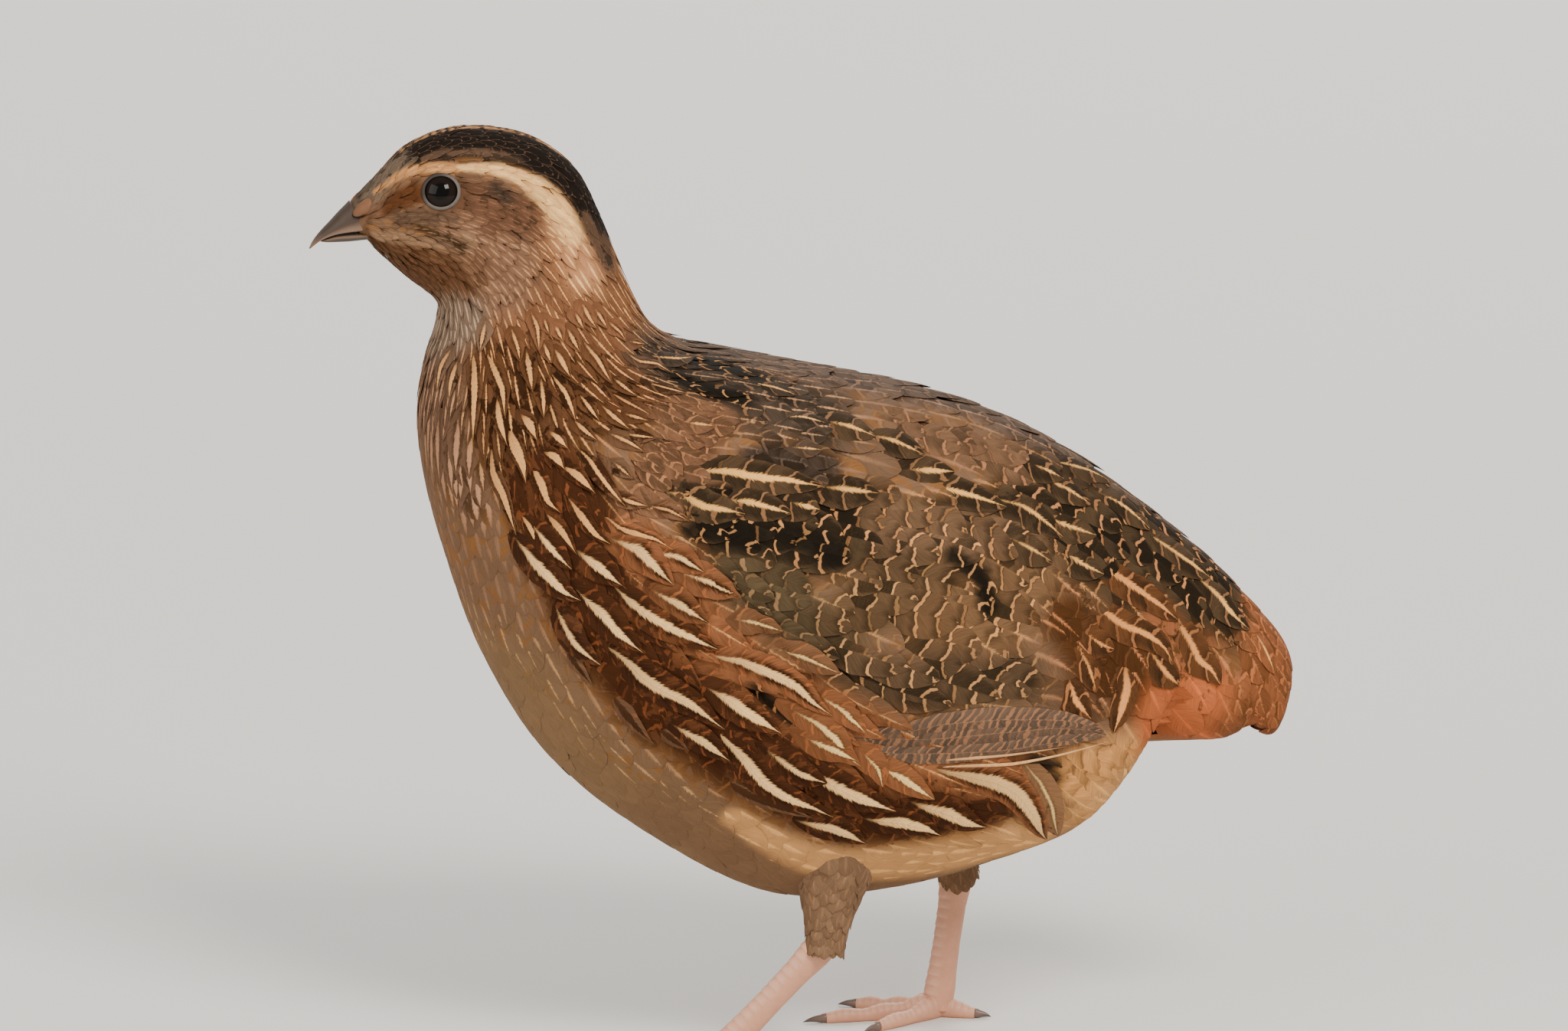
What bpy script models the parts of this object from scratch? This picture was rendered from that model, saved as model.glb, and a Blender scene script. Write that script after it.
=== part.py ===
"""A life-size standing coturnix quail, as still solids that fit together with thin gaps.

Sizes are in millimetres here and become metres in the mesh. The bird faces -X, its left side is
at -Y, and its toes stand on Z = 0.
"""

import math

import bmesh
import bpy
import numpy as np
from mathutils import Matrix

MM = 0.001
GAP = 0.3
FLOOR = 0.0
MIDDLE_X = -1.74  # the middle of the bird's length before it is centred

# Stations from the bill's base to the tail's base. Each is a flat slice across the body: the point
# on the back line (x, z), the point on the belly line (x, z), and the half-width.
STATIONS = np.array(
    [
        (-81.3, 153.3, -78.6, 147.1, 3.3),
        (-76.9, 157.4, -75.0, 143.9, 6.2),
        (-71.0, 163.2, -71.3, 140.5, 8.4),
        (-63.8, 166.1, -67.9, 137.8, 9.5),
        (-55.9, 166.2, -66.0, 136.0, 10.4),
        (-48.0, 163.8, -65.3, 134.3, 11.0),
        (-41.4, 158.4, -65.6, 132.0, 11.6),
        (-37.2, 150.2, -66.2, 129.3, 12.8),
        (-33.4, 140.5, -67.2, 126.3, 14.8),
        (-28.9, 131.1, -68.3, 121.4, 18.0),
        (-22.6, 126.5, -68.9, 114.9, 22.0),
        (-14.1, 124.6, -68.0, 105.0, 26.0),
        (-4.0, 122.2, -64.6, 91.4, 29.5),
        (6.7, 119.9, -57.9, 72.4, 31.8),
        (17.5, 117.5, -46.5, 54.0, 32.8),
        (28.3, 113.9, -28.3, 39.0, 32.6),
        (39.0, 108.8, -8.1, 28.6, 31.0),
        (49.8, 101.6, 12.1, 28.6, 28.0),
        (59.2, 94.4, 31.0, 32.8, 23.8),
        (66.0, 88.6, 44.0, 37.3, 19.8),
        (70.4, 84.6, 50.3, 43.2, 16.8),
        (74.2, 80.6, 53.4, 51.8, 14.2),
        (77.6, 76.8, 71.5, 53.0, 11.6),
    ]
)
TAIL_STATIONS = np.array(
    [
        (78.0, 76.4, 72.6, 56.2, 10.4),
        (80.9, 72.8, 75.6, 54.9, 9.8),
        (83.2, 68.9, 78.3, 53.9, 8.6),
        (84.4, 64.6, 80.7, 53.3, 6.6),
    ]
)
SECTION_POWER = 0.9  # under 1 makes a slice fuller than an ellipse
LOW_SLUNG = -0.08  # below 0 puts a slice's widest place under its middle
SLICE_SIDES = 32
STEP = 0.5  # stations between slices of the solid
TAIL_BASE = 22.0  # the last station

HEAD_NECK_CUT = 6.25
NECK_TORSO_CUT = 9.25
LEGS_FROM = 9.5  # the station from which the belly shapes the tops of the legs

# The bill: top point (x, z), edge point (x, z) and half-width of each slice.
UPPER_BILL = np.array(
    [
        (-81.8, 152.9, -79.75, 148.75, 3.1),
        (-82.9, 151.8, -81.4, 148.6, 2.75),
        (-84.2, 150.4, -83.2, 148.3, 2.25),
        (-85.5, 149.1, -84.7, 147.8, 1.7),
        (-86.6, 147.9, -86.0, 147.1, 1.15),
        (-87.4, 146.8, -87.0, 146.3, 0.65),
        (-87.95, 145.7, -87.8, 145.55, 0.15),
    ]
)
LOWER_BILL = np.array(
    [
        (-79.6, 148.4, -79.05, 147.05, 2.9),
        (-81.3, 148.25, -81.0, 146.85, 2.5),
        (-83.2, 148.0, -83.1, 146.75, 1.95),
        (-84.8, 147.5, -84.8, 146.7, 1.2),
        (-85.8, 147.0, -85.9, 146.8, 0.35),
    ]
)
OPERCULUM = (-78.9, 152.3)  # the swelling over each nostril, in side view
OPERCULUM_HALF = (1.7, 0.75, 0.9)
NOSTRIL = (-79.3, 151.0)
NOSTRIL_HALF = (1.1, 0.6, 0.3)

EYE = (-65.9, 156.4)
EYE_RADIUS = 4.0
EYE_SINK = 3.1  # how far the ball's centre lies inside the head's side
LID_RADIUS = 2.8
LID_HEIGHT = 3.1  # of the lid's ring over the ball's centre
LID_THICKNESS = 0.55
LID_DEPTH = 0.95
EYE_SEGMENTS, EYE_RINGS = 20, 10
GAPE = ((-79.4, 148.5), (-76.8, 148.55), (-74.2, 148.5), (-71.6, 149.1))
GAPE_RADIUS = 0.38

# The folded wing as a patch on the body's side, between a lower and an upper edge.
WING_LOWER = np.array(
    [(-27, 108), (-22, 95), (-10, 80), (2, 68.5), (14, 60.5), (31, 58.5), (46, 60.5)], float
)
WING_UPPER = np.array(
    [(-25, 112), (-15, 117), (0, 117.5), (18, 112.5), (33, 101.5), (43.5, 85.5), (49, 69.5)], float
)
WING_GRID = (12, 8)
WING_GAP = 0.45
WING_EDGE = 0.7
WING_FULLNESS = 3.0
VANE_THICKNESS = 0.65
LEAST_THICKNESS = 0.5
VANE_ALONG = np.array([0.0, 0.35, 0.7, 0.92, 1.0])
VANE_WIDTH = np.array([0.6, 0.92, 1.0, 0.68, 0.25])  # of its widest, at those shares of its length
WING_VANE_SWEEP = 0.012  # how far a vane's edges trail its shaft, in the patch's a
WING_VANE_TILT = 0.22  # how much lower its upper edge lies, under the next vane

# Each tier of the wing: how many feathers, the a and b of the first root and of the last, the a
# and b of the first tip and of the last, the half-width in b, and the lift at root and tip.
WING_TIERS = {
    "primary": (5, (0.60, 0.05), (0.56, 0.30), (1.05, 0.03), (0.93, 0.40), 0.085, (-0.75, 0.5)),
    "secondary": (6, (0.55, 0.40), (0.50, 0.97), (0.90, 0.50), (0.93, 1.04), 0.085, (-0.75, 0.7)),
    "greater_covert": (8, (0.40, 0.08), (0.36, 0.95), (0.66, 0.07), (0.64, 0.98), 0.078, (-0.8, 0.75)),
    "median_covert": (7, (0.20, 0.12), (0.18, 0.92), (0.46, 0.08), (0.44, 0.95), 0.085, (-0.9, 0.8)),
}

TAIL_FEATHERS = 5  # on each side, besides the middle pair made as one
TAIL_FAN = math.radians(24.0)  # between neighbours
TAIL_COVERTS = 3
TAIL_COVERT_FAN = math.radians(34.0)
TAIL_VANE_SWEEP = 0.1
TAIL_VANE_TILT = 0.15

# The feathered leg: its top (x, y, z) inside the belly, and its radius at the top and at the ankle.
THIGHS = {
    "left": ((3.0, -14.0, 46.0), 13.0, 3.4),
    "right": ((23.0, 13.0, 50.0), 11.0, 3.5),
}
ANKLES = {"left": (0.2, -16.0, 22.3), "right": (28.0, 15.1, 26.3)}
FEET = {"left": (-15.8, -15.0), "right": (24.8, 14.0)}
FOOT_TURN = {"left": math.radians(2.0), "right": math.radians(4.0)}
FOOT_TOP = 5.2
LEG_SPARE = 3.0  # how far a leg's length runs on before it is cut flat
SHANK_HALF = (2.55, 1.85)
# The shank's swelling as shares of its half-sizes, at shares of its length from ankle to foot.
SHANK_SHARES = (0.0, 0.12, 0.3, 0.6, 0.85, 1.0)
SHANK_SWELL = (1.16, 1.12, 0.96, 0.92, 0.97, 1.06)
# The foot's middle, where the toes meet: heights against the shank's cut, and half-sizes there.
FOOT_RISES = (-4.6, -2.6, -1.0)
FOOT_HALVES = ((2.0, 2.5), (2.1, 2.7), (2.0, 2.7))
TOE_RADIUS = 1.45
TOE_PRESS = 0.25  # how deep a toe's round underside is pressed flat
ROOT_RISE = 1.9
# Toe: angle from straight ahead (outwards is positive), length to the claw, and knuckles.
TOES = {
    "inner": (math.radians(-30.0), 14.5, 2),
    "middle": (math.radians(0.0), 20.5, 3),
    "outer": (math.radians(33.0), 15.5, 3),
    "hind": (math.radians(-158.0), 6.2, 1),
}
CLAW_LENGTH = {"inner": 3.4, "middle": 3.8, "outer": 3.4, "hind": 2.6}

COLOURS = {
    "plumage": (0.30, 0.17, 0.09, 0.9),
    "head_plumage": (0.36, 0.21, 0.12, 0.9),
    "wing_plumage": (0.22, 0.14, 0.08, 0.85),
    "horn": (0.22, 0.16, 0.13, 0.4),
    "eye": (0.01, 0.008, 0.006, 0.05),
    "leg_skin": (0.62, 0.38, 0.30, 0.5),
    "claw": (0.20, 0.14, 0.11, 0.35),
}


def material(name):
    """A plain material of one colour, with the last number as its roughness."""
    made = bpy.data.materials.get(name)
    if made is None:
        red, green, blue, roughness = COLOURS[name]
        made = bpy.data.materials.new(name)
        made.use_nodes = True
        shader = made.node_tree.nodes["Principled BSDF"]
        shader.inputs["Base Color"].default_value = (red, green, blue, 1.0)
        shader.inputs["Roughness"].default_value = roughness
        shader.inputs["Metallic"].default_value = 0.0
    return made


def solid(name, points, faces, finish, smooth=True):
    """A closed mesh object from points in millimetres, its faces turned outwards."""
    mesh = bpy.data.meshes.new(name)
    mesh.from_pydata((np.asarray(points, float) * MM).tolist(), [], faces)
    work = bmesh.new()
    work.from_mesh(mesh)
    bmesh.ops.recalc_face_normals(work, faces=work.faces)
    work.to_mesh(mesh)
    work.free()
    mesh.materials.append(material(finish))
    obj = bpy.data.objects.new(name, mesh)
    bpy.context.scene.collection.objects.link(obj)
    if smooth:
        mesh.shade_smooth()
        mesh.set_sharp_from_angle(angle=math.radians(50.0))
    return obj


def along(table, at):
    """The table's rows read as a smooth curve, at fractional row numbers."""
    at = np.asarray(at, float)
    last = len(table) - 1
    first = np.clip(np.floor(at).astype(int), 0, last - 1)
    t = (at - first)[..., None]
    slopes = np.gradient(table, axis=0)
    start, end = table[first], table[first + 1]
    lead, trail = slopes[first], slopes[first + 1]
    return (
        start * (2 * t**3 - 3 * t**2 + 1)
        + lead * (t**3 - 2 * t**2 + t)
        + end * (3 * t**2 - 2 * t**3)
        + trail * (t**3 - t**2)
    )


def slice_point(table, s, angle):
    """A point on the body: s runs along the stations, angle round them from the back line."""
    row = along(table, s)
    back, belly, half = row[..., 0:2], row[..., 2:4], row[..., 4]
    up = np.cos(angle)
    across = np.sin(angle)
    flat = (back + belly) / 2 + (back - belly) / 2 * up[..., None]
    y = half * np.sign(across) * np.abs(across) ** SECTION_POWER * (1 + LOW_SLUNG * up)
    return np.stack([flat[..., 0], y, flat[..., 1]], axis=-1)


def slice_normal(table, s, angle):
    """The outward direction at that point."""
    small = 0.01
    ds = slice_point(table, s + small, angle) - slice_point(table, s - small, angle)
    da = slice_point(table, s, angle + small) - slice_point(table, s, angle - small)
    normal = np.cross(ds, da)
    return normal / np.linalg.norm(normal, axis=-1, keepdims=True)


def raised(table, s, angle, height):
    """The point at a height over the body's surface."""
    return slice_point(table, s, angle) + slice_normal(table, s, angle) * height[..., None]


def place_on_side(x, z):
    """The station and angle of the body's left side that show at (x, z) in side view."""
    goal = np.stack([x, z], axis=-1)

    def flat(s, up):
        row = along(STATIONS, s)
        back, belly = row[..., 0:2], row[..., 2:4]
        return (back + belly) / 2 + (back - belly) / 2 * up[..., None]

    tries_s, tries_up = np.meshgrid(np.arange(6, 22, 0.5), np.arange(-0.95, 1, 0.1))
    tries_s, tries_up = tries_s.ravel(), tries_up.ravel()
    distance = np.linalg.norm(goal[..., None, :] - flat(tries_s, tries_up), axis=-1)
    nearest = distance.argmin(axis=-1)
    s, up = tries_s[nearest], tries_up[nearest]
    small = 0.01
    for _ in range(12):
        here = flat(s, up)
        off = goal - here
        by_s = (flat(s + small, up) - here) / small
        by_up = (flat(s, up + small) - here) / small
        det = by_s[..., 0] * by_up[..., 1] - by_s[..., 1] * by_up[..., 0]
        s = s + np.clip((off[..., 0] * by_up[..., 1] - off[..., 1] * by_up[..., 0]) / det, -1, 1)
        up = up + np.clip((by_s[..., 0] * off[..., 1] - by_s[..., 1] * off[..., 0]) / det, -0.3, 0.3)
        s, up = np.clip(s, 0, TAIL_BASE), np.clip(up, -0.999, 0.999)
    return s, -np.arccos(up)


def on_side(x, z, height, side):
    """Points over the body's side that show at (x, z), at a height over the surface."""
    s, angle = place_on_side(x, z)
    points = raised(STATIONS, s, angle, height)
    points[..., 1] *= -side
    return points


def ring_faces(rings, sides, first_cap=True, last_cap=True):
    """Faces of a loft of closed rings, and its flat caps."""
    faces = []
    for r in range(rings - 1):
        for k in range(sides):
            after = (k + 1) % sides
            low, high = r * sides, (r + 1) * sides
            faces.append((low + k, low + after, high + after, high + k))
    if first_cap:
        faces.append(tuple(range(sides)))
    if last_cap:
        faces.append(tuple((rings - 1) * sides + k for k in range(sides)))
    return faces


def body_loft(name, table, stations, finish, height=0.0):
    """A closed loft of the body's slices, pushed out by a height."""
    angles = np.arange(SLICE_SIDES) * 2 * math.pi / SLICE_SIDES + math.pi / SLICE_SIDES
    s, angle = np.meshgrid(stations, angles, indexing="ij")
    points = raised(table, s, angle, np.full(s.shape, height))
    return solid(name, points.reshape(-1, 3), ring_faces(len(stations), SLICE_SIDES), finish)


def taken(obj):
    """The object's mesh as its modifiers leave it, kept without them."""
    bpy.context.view_layer.update()
    made = bpy.data.meshes.new_from_object(obj.evaluated_get(bpy.context.evaluated_depsgraph_get()))
    obj.modifiers.clear()
    obj.data = made
    made.name = obj.name


def largest_shell(obj):
    """Leaves only the largest closed surface of the object."""
    work = bmesh.new()
    work.from_mesh(obj.data)
    left = set(work.faces)
    shells = []
    while left:
        shell, front = set(), [left.pop()]
        while front:
            face = front.pop()
            shell.add(face)
            for edge in face.edges:
                for other in edge.link_faces:
                    if other in left:
                        left.discard(other)
                        front.append(other)
        shells.append(shell)
    keep = max(shells, key=lambda shell: sum(face.calc_area() for face in shell))
    bmesh.ops.delete(work, geom=[f for f in work.faces if f not in keep], context="FACES")
    work.to_mesh(obj.data)
    work.free()


def joined(name, base, pieces):
    """Base and pieces fused into one closed body by a Boolean union."""
    group = bpy.data.collections.new(name + "_pieces")
    bpy.context.scene.collection.children.link(group)
    for piece in pieces:
        bpy.context.scene.collection.objects.unlink(piece)
        group.objects.link(piece)
    union = base.modifiers.new("join", "BOOLEAN")
    union.operation = "UNION"
    union.operand_type = "COLLECTION"
    union.collection = group
    union.solver = "MANIFOLD"
    taken(base)
    for piece in list(group.objects):
        bpy.data.objects.remove(piece)
    bpy.data.collections.remove(group)
    largest_shell(base)
    base.name = name
    base.data.name = name
    return base


def carved(obj, cutters):
    """The object with each cutter's shape taken away."""
    for cutter in cutters:
        cut = obj.modifiers.new("carve", "BOOLEAN")
        cut.operation = "DIFFERENCE"
        cut.object = cutter
        cut.solver = "EXACT"
        taken(obj)
        bpy.data.objects.remove(cutter)
    largest_shell(obj)
    return obj


def station_plane(s):
    """A point and a tailward direction of the flat slice at a station, in metres."""
    row = along(STATIONS, s)
    middle = (row[0:2] + row[2:4]) / 2
    line = (row[0:2] - row[2:4]) / np.linalg.norm(row[0:2] - row[2:4])
    return (
        np.array([middle[0], 0.0, middle[1]]) * MM,
        np.array([line[1], 0.0, -line[0]]),
    )


def part_between(whole, name, start, end, finish):
    """The stretch of the whole body between two thin cuts; None leaves that end as it is."""
    obj = whole.copy()
    obj.data = whole.data.copy()
    obj.name = obj.data.name = name
    bpy.context.scene.collection.objects.link(obj)
    work = bmesh.new()
    work.from_mesh(obj.data)
    for station, sign in ((start, -1.0), (end, 1.0)):
        if station is None:
            continue
        point, tailward = station_plane(station)
        place = point - tailward * sign * GAP / 2 * MM
        geom = list(work.verts) + list(work.edges) + list(work.faces)
        cut = bmesh.ops.bisect_plane(
            work, geom=geom, dist=1e-7, plane_co=place, plane_no=tailward * sign, clear_outer=True
        )
        edges = [e for e in cut["geom_cut"] if isinstance(e, bmesh.types.BMEdge)]
        bmesh.ops.edgeloop_fill(work, edges=edges)
    bmesh.ops.recalc_face_normals(work, faces=work.faces)
    work.to_mesh(obj.data)
    work.free()
    obj.data.materials.clear()
    obj.data.materials.append(material(finish))
    return obj


def ellipsoid(name, centre, half, finish, segments=14, rings=8):
    """A closed ellipsoid with its poles along Y."""
    points, faces = [], []
    points.append((centre[0], centre[1] - half[1], centre[2]))
    for r in range(1, rings):
        polar = math.pi * r / rings
        for k in range(segments):
            turn = 2 * math.pi * k / segments
            points.append(
                (
                    centre[0] + half[0] * math.sin(polar) * math.cos(turn),
                    centre[1] - half[1] * math.cos(polar),
                    centre[2] + half[2] * math.sin(polar) * math.sin(turn),
                )
            )
    points.append((centre[0], centre[1] + half[1], centre[2]))
    last = len(points) - 1
    for k in range(segments):
        after = (k + 1) % segments
        faces.append((0, 1 + k, 1 + after))
        faces.append((last, last - segments + after, last - segments + k))
        for r in range(rings - 2):
            low, high = 1 + r * segments, 1 + (r + 1) * segments
            faces.append((low + k, high + k, high + after, low + after))
    return solid(name, points, faces, finish)


def lid_ring(name, centre, outward, finish):
    """A ring of lid skin round the eye, as a deep torus that faces outward."""
    outward = np.array(outward) / np.linalg.norm(outward)
    first = np.cross(outward, (0.0, 0.0, 1.0))
    first /= np.linalg.norm(first)
    second = np.cross(outward, first)
    turns, sides = 20, 7
    points = []
    for i in range(turns):
        turn = 2 * math.pi * i / turns
        spoke = first * math.cos(turn) + second * math.sin(turn)
        for k in range(sides):
            a = 2 * math.pi * k / sides
            across = spoke * (LID_RADIUS + LID_THICKNESS * math.cos(a))
            points.append(np.array(centre) + across + outward * LID_DEPTH * math.sin(a))
    faces = []
    for i in range(turns):
        for k in range(sides):
            j, m = (i + 1) % turns, (k + 1) % sides
            faces.append((i * sides + k, j * sides + k, j * sides + m, i * sides + m))
    return solid(name, points, faces, finish)


def tube(name, path, halves, finish, sides=12, floor=None, up=(0.0, 0.0, 1.0)):
    """A closed tube along a path; halves gives each slice's two half-sizes, across and upwards."""
    path = np.asarray(path, float)
    heading = np.gradient(path, axis=0)
    heading /= np.linalg.norm(heading, axis=1, keepdims=True)
    points = []
    for place, ahead, (wide, high) in zip(path, heading, halves, strict=True):
        across = np.cross(ahead, up)
        across /= np.linalg.norm(across)
        top = np.cross(across, ahead)
        for k in range(sides):
            a = 2 * math.pi * (k + 0.5) / sides
            point = place + across * wide * math.cos(a) + top * high * math.sin(a)
            if floor is not None:
                point[2] = max(point[2], floor)
            points.append(point)
    return solid(name, points, ring_faces(len(path), sides), finish)


def head_place(flat, height, side):
    """The point over the head's side that shows at (x, z)."""
    return on_side_head(np.array([flat[0]]), np.array([flat[1]]), np.array([height]), side)[0]


def eye_place(side):
    """Centre of the eyeball, and the outward direction of the head's side there."""
    surface = head_place(EYE, 0.0, side)
    outer = head_place(EYE, 1.0, side) - surface
    return surface - outer * EYE_SINK, outer


def on_side_head(x, z, height, side):
    """Points over the head's side that show at (x, z); the head's slices are searched directly."""
    tries_s, tries_up = np.meshgrid(np.linspace(0, 6, 241), np.linspace(-0.99, 0.99, 199))
    row = along(STATIONS, tries_s)
    back, belly = row[..., 0:2], row[..., 2:4]
    flat = (back + belly) / 2 + (back - belly) / 2 * tries_up[..., None]
    goal = np.stack([x, z], axis=-1)
    distance = np.linalg.norm(goal[:, None, None, :] - flat, axis=-1).reshape(len(x), -1)
    nearest = distance.argmin(axis=1)
    s, angle = tries_s.ravel()[nearest], -np.arccos(tries_up.ravel()[nearest])
    points = raised(STATIONS, s, angle, height)
    points[..., 1] *= -side
    return points


def make_head(whole):
    """The head with its eye sockets, lids and the line of the gape."""
    head = part_between(whole, "head", None, HEAD_NECK_CUT, "head_plumage")
    raised_parts, cuts = [], []
    for side in (-1, 1):
        centre, outward = eye_place(side)
        raised_parts.append(lid_ring("lid", centre + outward * LID_HEIGHT, outward, "head_plumage"))
        swelling = head_place(OPERCULUM, -0.15, side)
        raised_parts.append(ellipsoid("operculum", swelling, OPERCULUM_HALF, "head_plumage", 12, 6))
        reach = EYE_RADIUS + GAP
        cuts.append(ellipsoid("socket", centre, (reach,) * 3, "head_plumage", EYE_SEGMENTS, EYE_RINGS))
        slit = head_place(NOSTRIL, 0.1, side)
        cuts.append(ellipsoid("nostril", slit, NOSTRIL_HALF, "head_plumage", 10, 6))
        line = np.array(GAPE)
        path = on_side_head(line[:, 0], line[:, 1], np.full(len(line), 0.05), side)
        halves = [(GAPE_RADIUS * share, GAPE_RADIUS * share) for share in (1.0, 1.0, 0.9, 0.4)]
        cuts.append(tube("gape", path, halves, "head_plumage", sides=6))
    head = joined("head", head, raised_parts)
    return carved(head, cuts)


def make_eyes():
    """Two eyeballs in their sockets."""
    for side, name in ((-1, "eye_left"), (1, "eye_right")):
        centre, _ = eye_place(side)
        ellipsoid(name, centre, (EYE_RADIUS,) * 3, "eye", EYE_SEGMENTS, EYE_RINGS)


def bill_loft(name, table, flat_edge):
    """A half of the bill: rounded over the outer line, flat along the edge line."""
    rows = along(table, np.linspace(0, len(table) - 1, 2 * len(table) - 1))
    sides = 16
    points = []
    for row in rows:
        outer, edge, half = row[0:2], row[2:4], row[4]
        for k in range(sides):
            a = 2 * math.pi * (k + 0.5) / sides
            rise = math.cos(a)
            share = max(rise, 0.0) ** 0.9 + 0.16 * min(rise, 0.0) + 0.16
            flat = edge + (outer - edge) * min(share / 1.16, 1.0)
            y = half * math.copysign(abs(math.sin(a)) ** flat_edge, math.sin(a))
            points.append((flat[0], y, flat[1]))
    return solid(name, points, ring_faces(len(rows), sides), "horn")


def make_bill():
    """The two halves of the bill, cut flat against the head."""
    point, tailward = station_plane(0.0)
    lower_rows = LOWER_BILL[:, [2, 3, 0, 1, 4]]
    for obj in (bill_loft("bill_upper", UPPER_BILL, 0.75), bill_loft("bill_lower", lower_rows, 0.75)):
        trim_behind(obj, point - tailward * GAP * MM, tailward)


def trim_behind(obj, point, direction):
    """Cuts off what lies past a plane in a direction, and closes the cut."""
    work = bmesh.new()
    work.from_mesh(obj.data)
    geom = list(work.verts) + list(work.edges) + list(work.faces)
    cut = bmesh.ops.bisect_plane(
        work, geom=geom, dist=1e-7, plane_co=point, plane_no=direction, clear_outer=True
    )
    edges = [e for e in cut["geom_cut"] if isinstance(e, bmesh.types.BMEdge)]
    if edges:
        bmesh.ops.edgeloop_fill(work, edges=edges)
    bmesh.ops.recalc_face_normals(work, faces=work.faces)
    work.to_mesh(obj.data)
    work.free()


def wing_flat(a, b):
    """The wing patch in side view: a from shoulder to tip, b from lower to upper edge."""
    lower = along(WING_LOWER, a * (len(WING_LOWER) - 1))
    upper = along(WING_UPPER, a * (len(WING_UPPER) - 1))
    return lower + (upper - lower) * b[..., None]


def wing_depth(a, b):
    """How thick the wing's core is there."""
    a, b = np.clip(a, 0, 1), np.clip(b, 0, 1)
    dome = (np.sin(math.pi * a**0.8) * np.sin(math.pi * b)).clip(0) ** 0.5
    return WING_EDGE + WING_FULLNESS * dome


def wing_point(a, b, height, side):
    """A point over the body inside or near the wing patch."""
    flat = wing_flat(a, b)
    return on_side(flat[..., 0], flat[..., 1], height, side)


def slab(name, top, bottom, finish):
    """A closed plate between two like grids, split into triangles alike on both faces."""
    rows, columns = top.shape[:2]
    count = rows * columns
    points = np.concatenate([top.reshape(-1, 3), bottom.reshape(-1, 3)])
    faces = []
    for r in range(rows - 1):
        for c in range(columns - 1):
            a, b = r * columns + c, r * columns + c + 1
            d, e = a + columns, b + columns
            faces += [(a, b, e), (a, e, d)]
            faces += [(count + a, count + e, count + b), (count + a, count + d, count + e)]
    rim = [c for c in range(columns)]
    rim += [r * columns + columns - 1 for r in range(1, rows)]
    rim += [(rows - 1) * columns + c for c in range(columns - 2, -1, -1)]
    rim += [r * columns for r in range(rows - 2, 0, -1)]
    for i, here in enumerate(rim):
        after = rim[(i + 1) % len(rim)]
        faces += [(here, count + after, after), (here, count + here, count + after)]
    return solid(name, points, faces, finish)


def wing_vane(name, start, end, half_width, side, lift):
    """One feather of the folded wing, from start to end in the patch's (a, b), as a bent plate."""
    share, across = np.meshgrid(VANE_ALONG, (-1.0, 0.0, 1.0), indexing="ij")
    wide = np.interp(share, VANE_ALONG, VANE_WIDTH)
    a = start[0] + (end[0] - start[0]) * share - WING_VANE_SWEEP * np.abs(across) * share
    b = start[1] + (end[1] - start[1]) * share + half_width * wide * across
    inside = wing_depth(a, b) + WING_GAP
    top = inside + lift[0] + (lift[1] - lift[0]) * share**0.8 - WING_VANE_TILT * across * wide
    bottom = np.maximum(top - VANE_THICKNESS, WING_GAP + GAP)
    top = np.maximum(top, bottom + LEAST_THICKNESS)
    return slab(
        name, wing_point(a, b, top, side), wing_point(a, b, bottom, side), "wing_plumage"
    )


def make_wing(name, side):
    """A folded wing: a core on the body's side under tiers of overlapping feathers."""
    a, b = np.meshgrid(np.linspace(0, 1, WING_GRID[0]), np.linspace(0, 1, WING_GRID[1]), indexing="ij")
    depth = wing_depth(a, b)
    core = slab(
        name,
        wing_point(a, b, WING_GAP + depth, side),
        wing_point(a, b, np.full(a.shape, WING_GAP), side),
        "wing_plumage",
    )
    vanes = []
    for tier, (count, root0, root1, tip0, tip1, half, lift) in WING_TIERS.items():
        for i in range(count):
            share = i / (count - 1)
            start = np.array(root0) + (np.array(root1) - np.array(root0)) * share
            end = np.array(tip0) + (np.array(tip1) - np.array(tip0)) * share
            vanes.append(wing_vane(f"{tier}_{i}", start, end, half, side, lift))
    return joined(name, core, vanes)


def tail_vane(name, angle, start, end, half_angle, lift):
    """One tail feather laid over the tail's core, at an angle from the back line."""
    share, across = np.meshgrid(VANE_ALONG, (-1.0, 0.0, 1.0), indexing="ij")
    wide = np.interp(share, VANE_ALONG, VANE_WIDTH)
    s = start + (end - start) * share - TAIL_VANE_SWEEP * np.abs(across) * share
    turn = angle + half_angle * wide * across
    tilt = TAIL_VANE_TILT * across * wide * math.copysign(1, angle or 1)
    top = lift[0] + (lift[1] - lift[0]) * share - tilt
    bottom = top - VANE_THICKNESS
    return slab(
        name, raised(TAIL_STATIONS, s, turn, top), raised(TAIL_STATIONS, s, turn, bottom), "plumage"
    )


def make_tail():
    """The short drooping tail: a core under a fan of feathers and their coverts."""
    core = body_loft("tail", TAIL_STATIONS, np.linspace(0, 2.5, 5), "plumage", -0.5)
    vanes = []
    for i in range(TAIL_FEATHERS, -1, -1):
        for side in (-1, 1) if i else (1,):
            angle = side * i * TAIL_FAN
            vanes.append(tail_vane(f"feather_{i}", angle, 0.4, 2.98 - 0.05 * i, 0.3, (-0.7, 0.1)))
    for i in range(TAIL_COVERTS):
        for side in (-1, 1) if i else (1,):
            angle = side * i * TAIL_COVERT_FAN
            vanes.append(tail_vane(f"covert_{i}", angle, 0.4, 2.2, 0.36, (-0.6, 0.75)))
    return joined("tail", core, vanes)


def leg_line(side_name):
    """The ankle, the foot's middle at its cut, and the unit directions up the shank and the thigh."""
    ankle = np.array(ANKLES[side_name])
    foot = np.array([*FEET[side_name], FOOT_TOP])
    shank = (ankle - foot) / np.linalg.norm(ankle - foot)
    thigh = np.array(THIGHS[side_name][0]) - ankle
    return ankle, foot, shank, thigh / np.linalg.norm(thigh)


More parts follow.
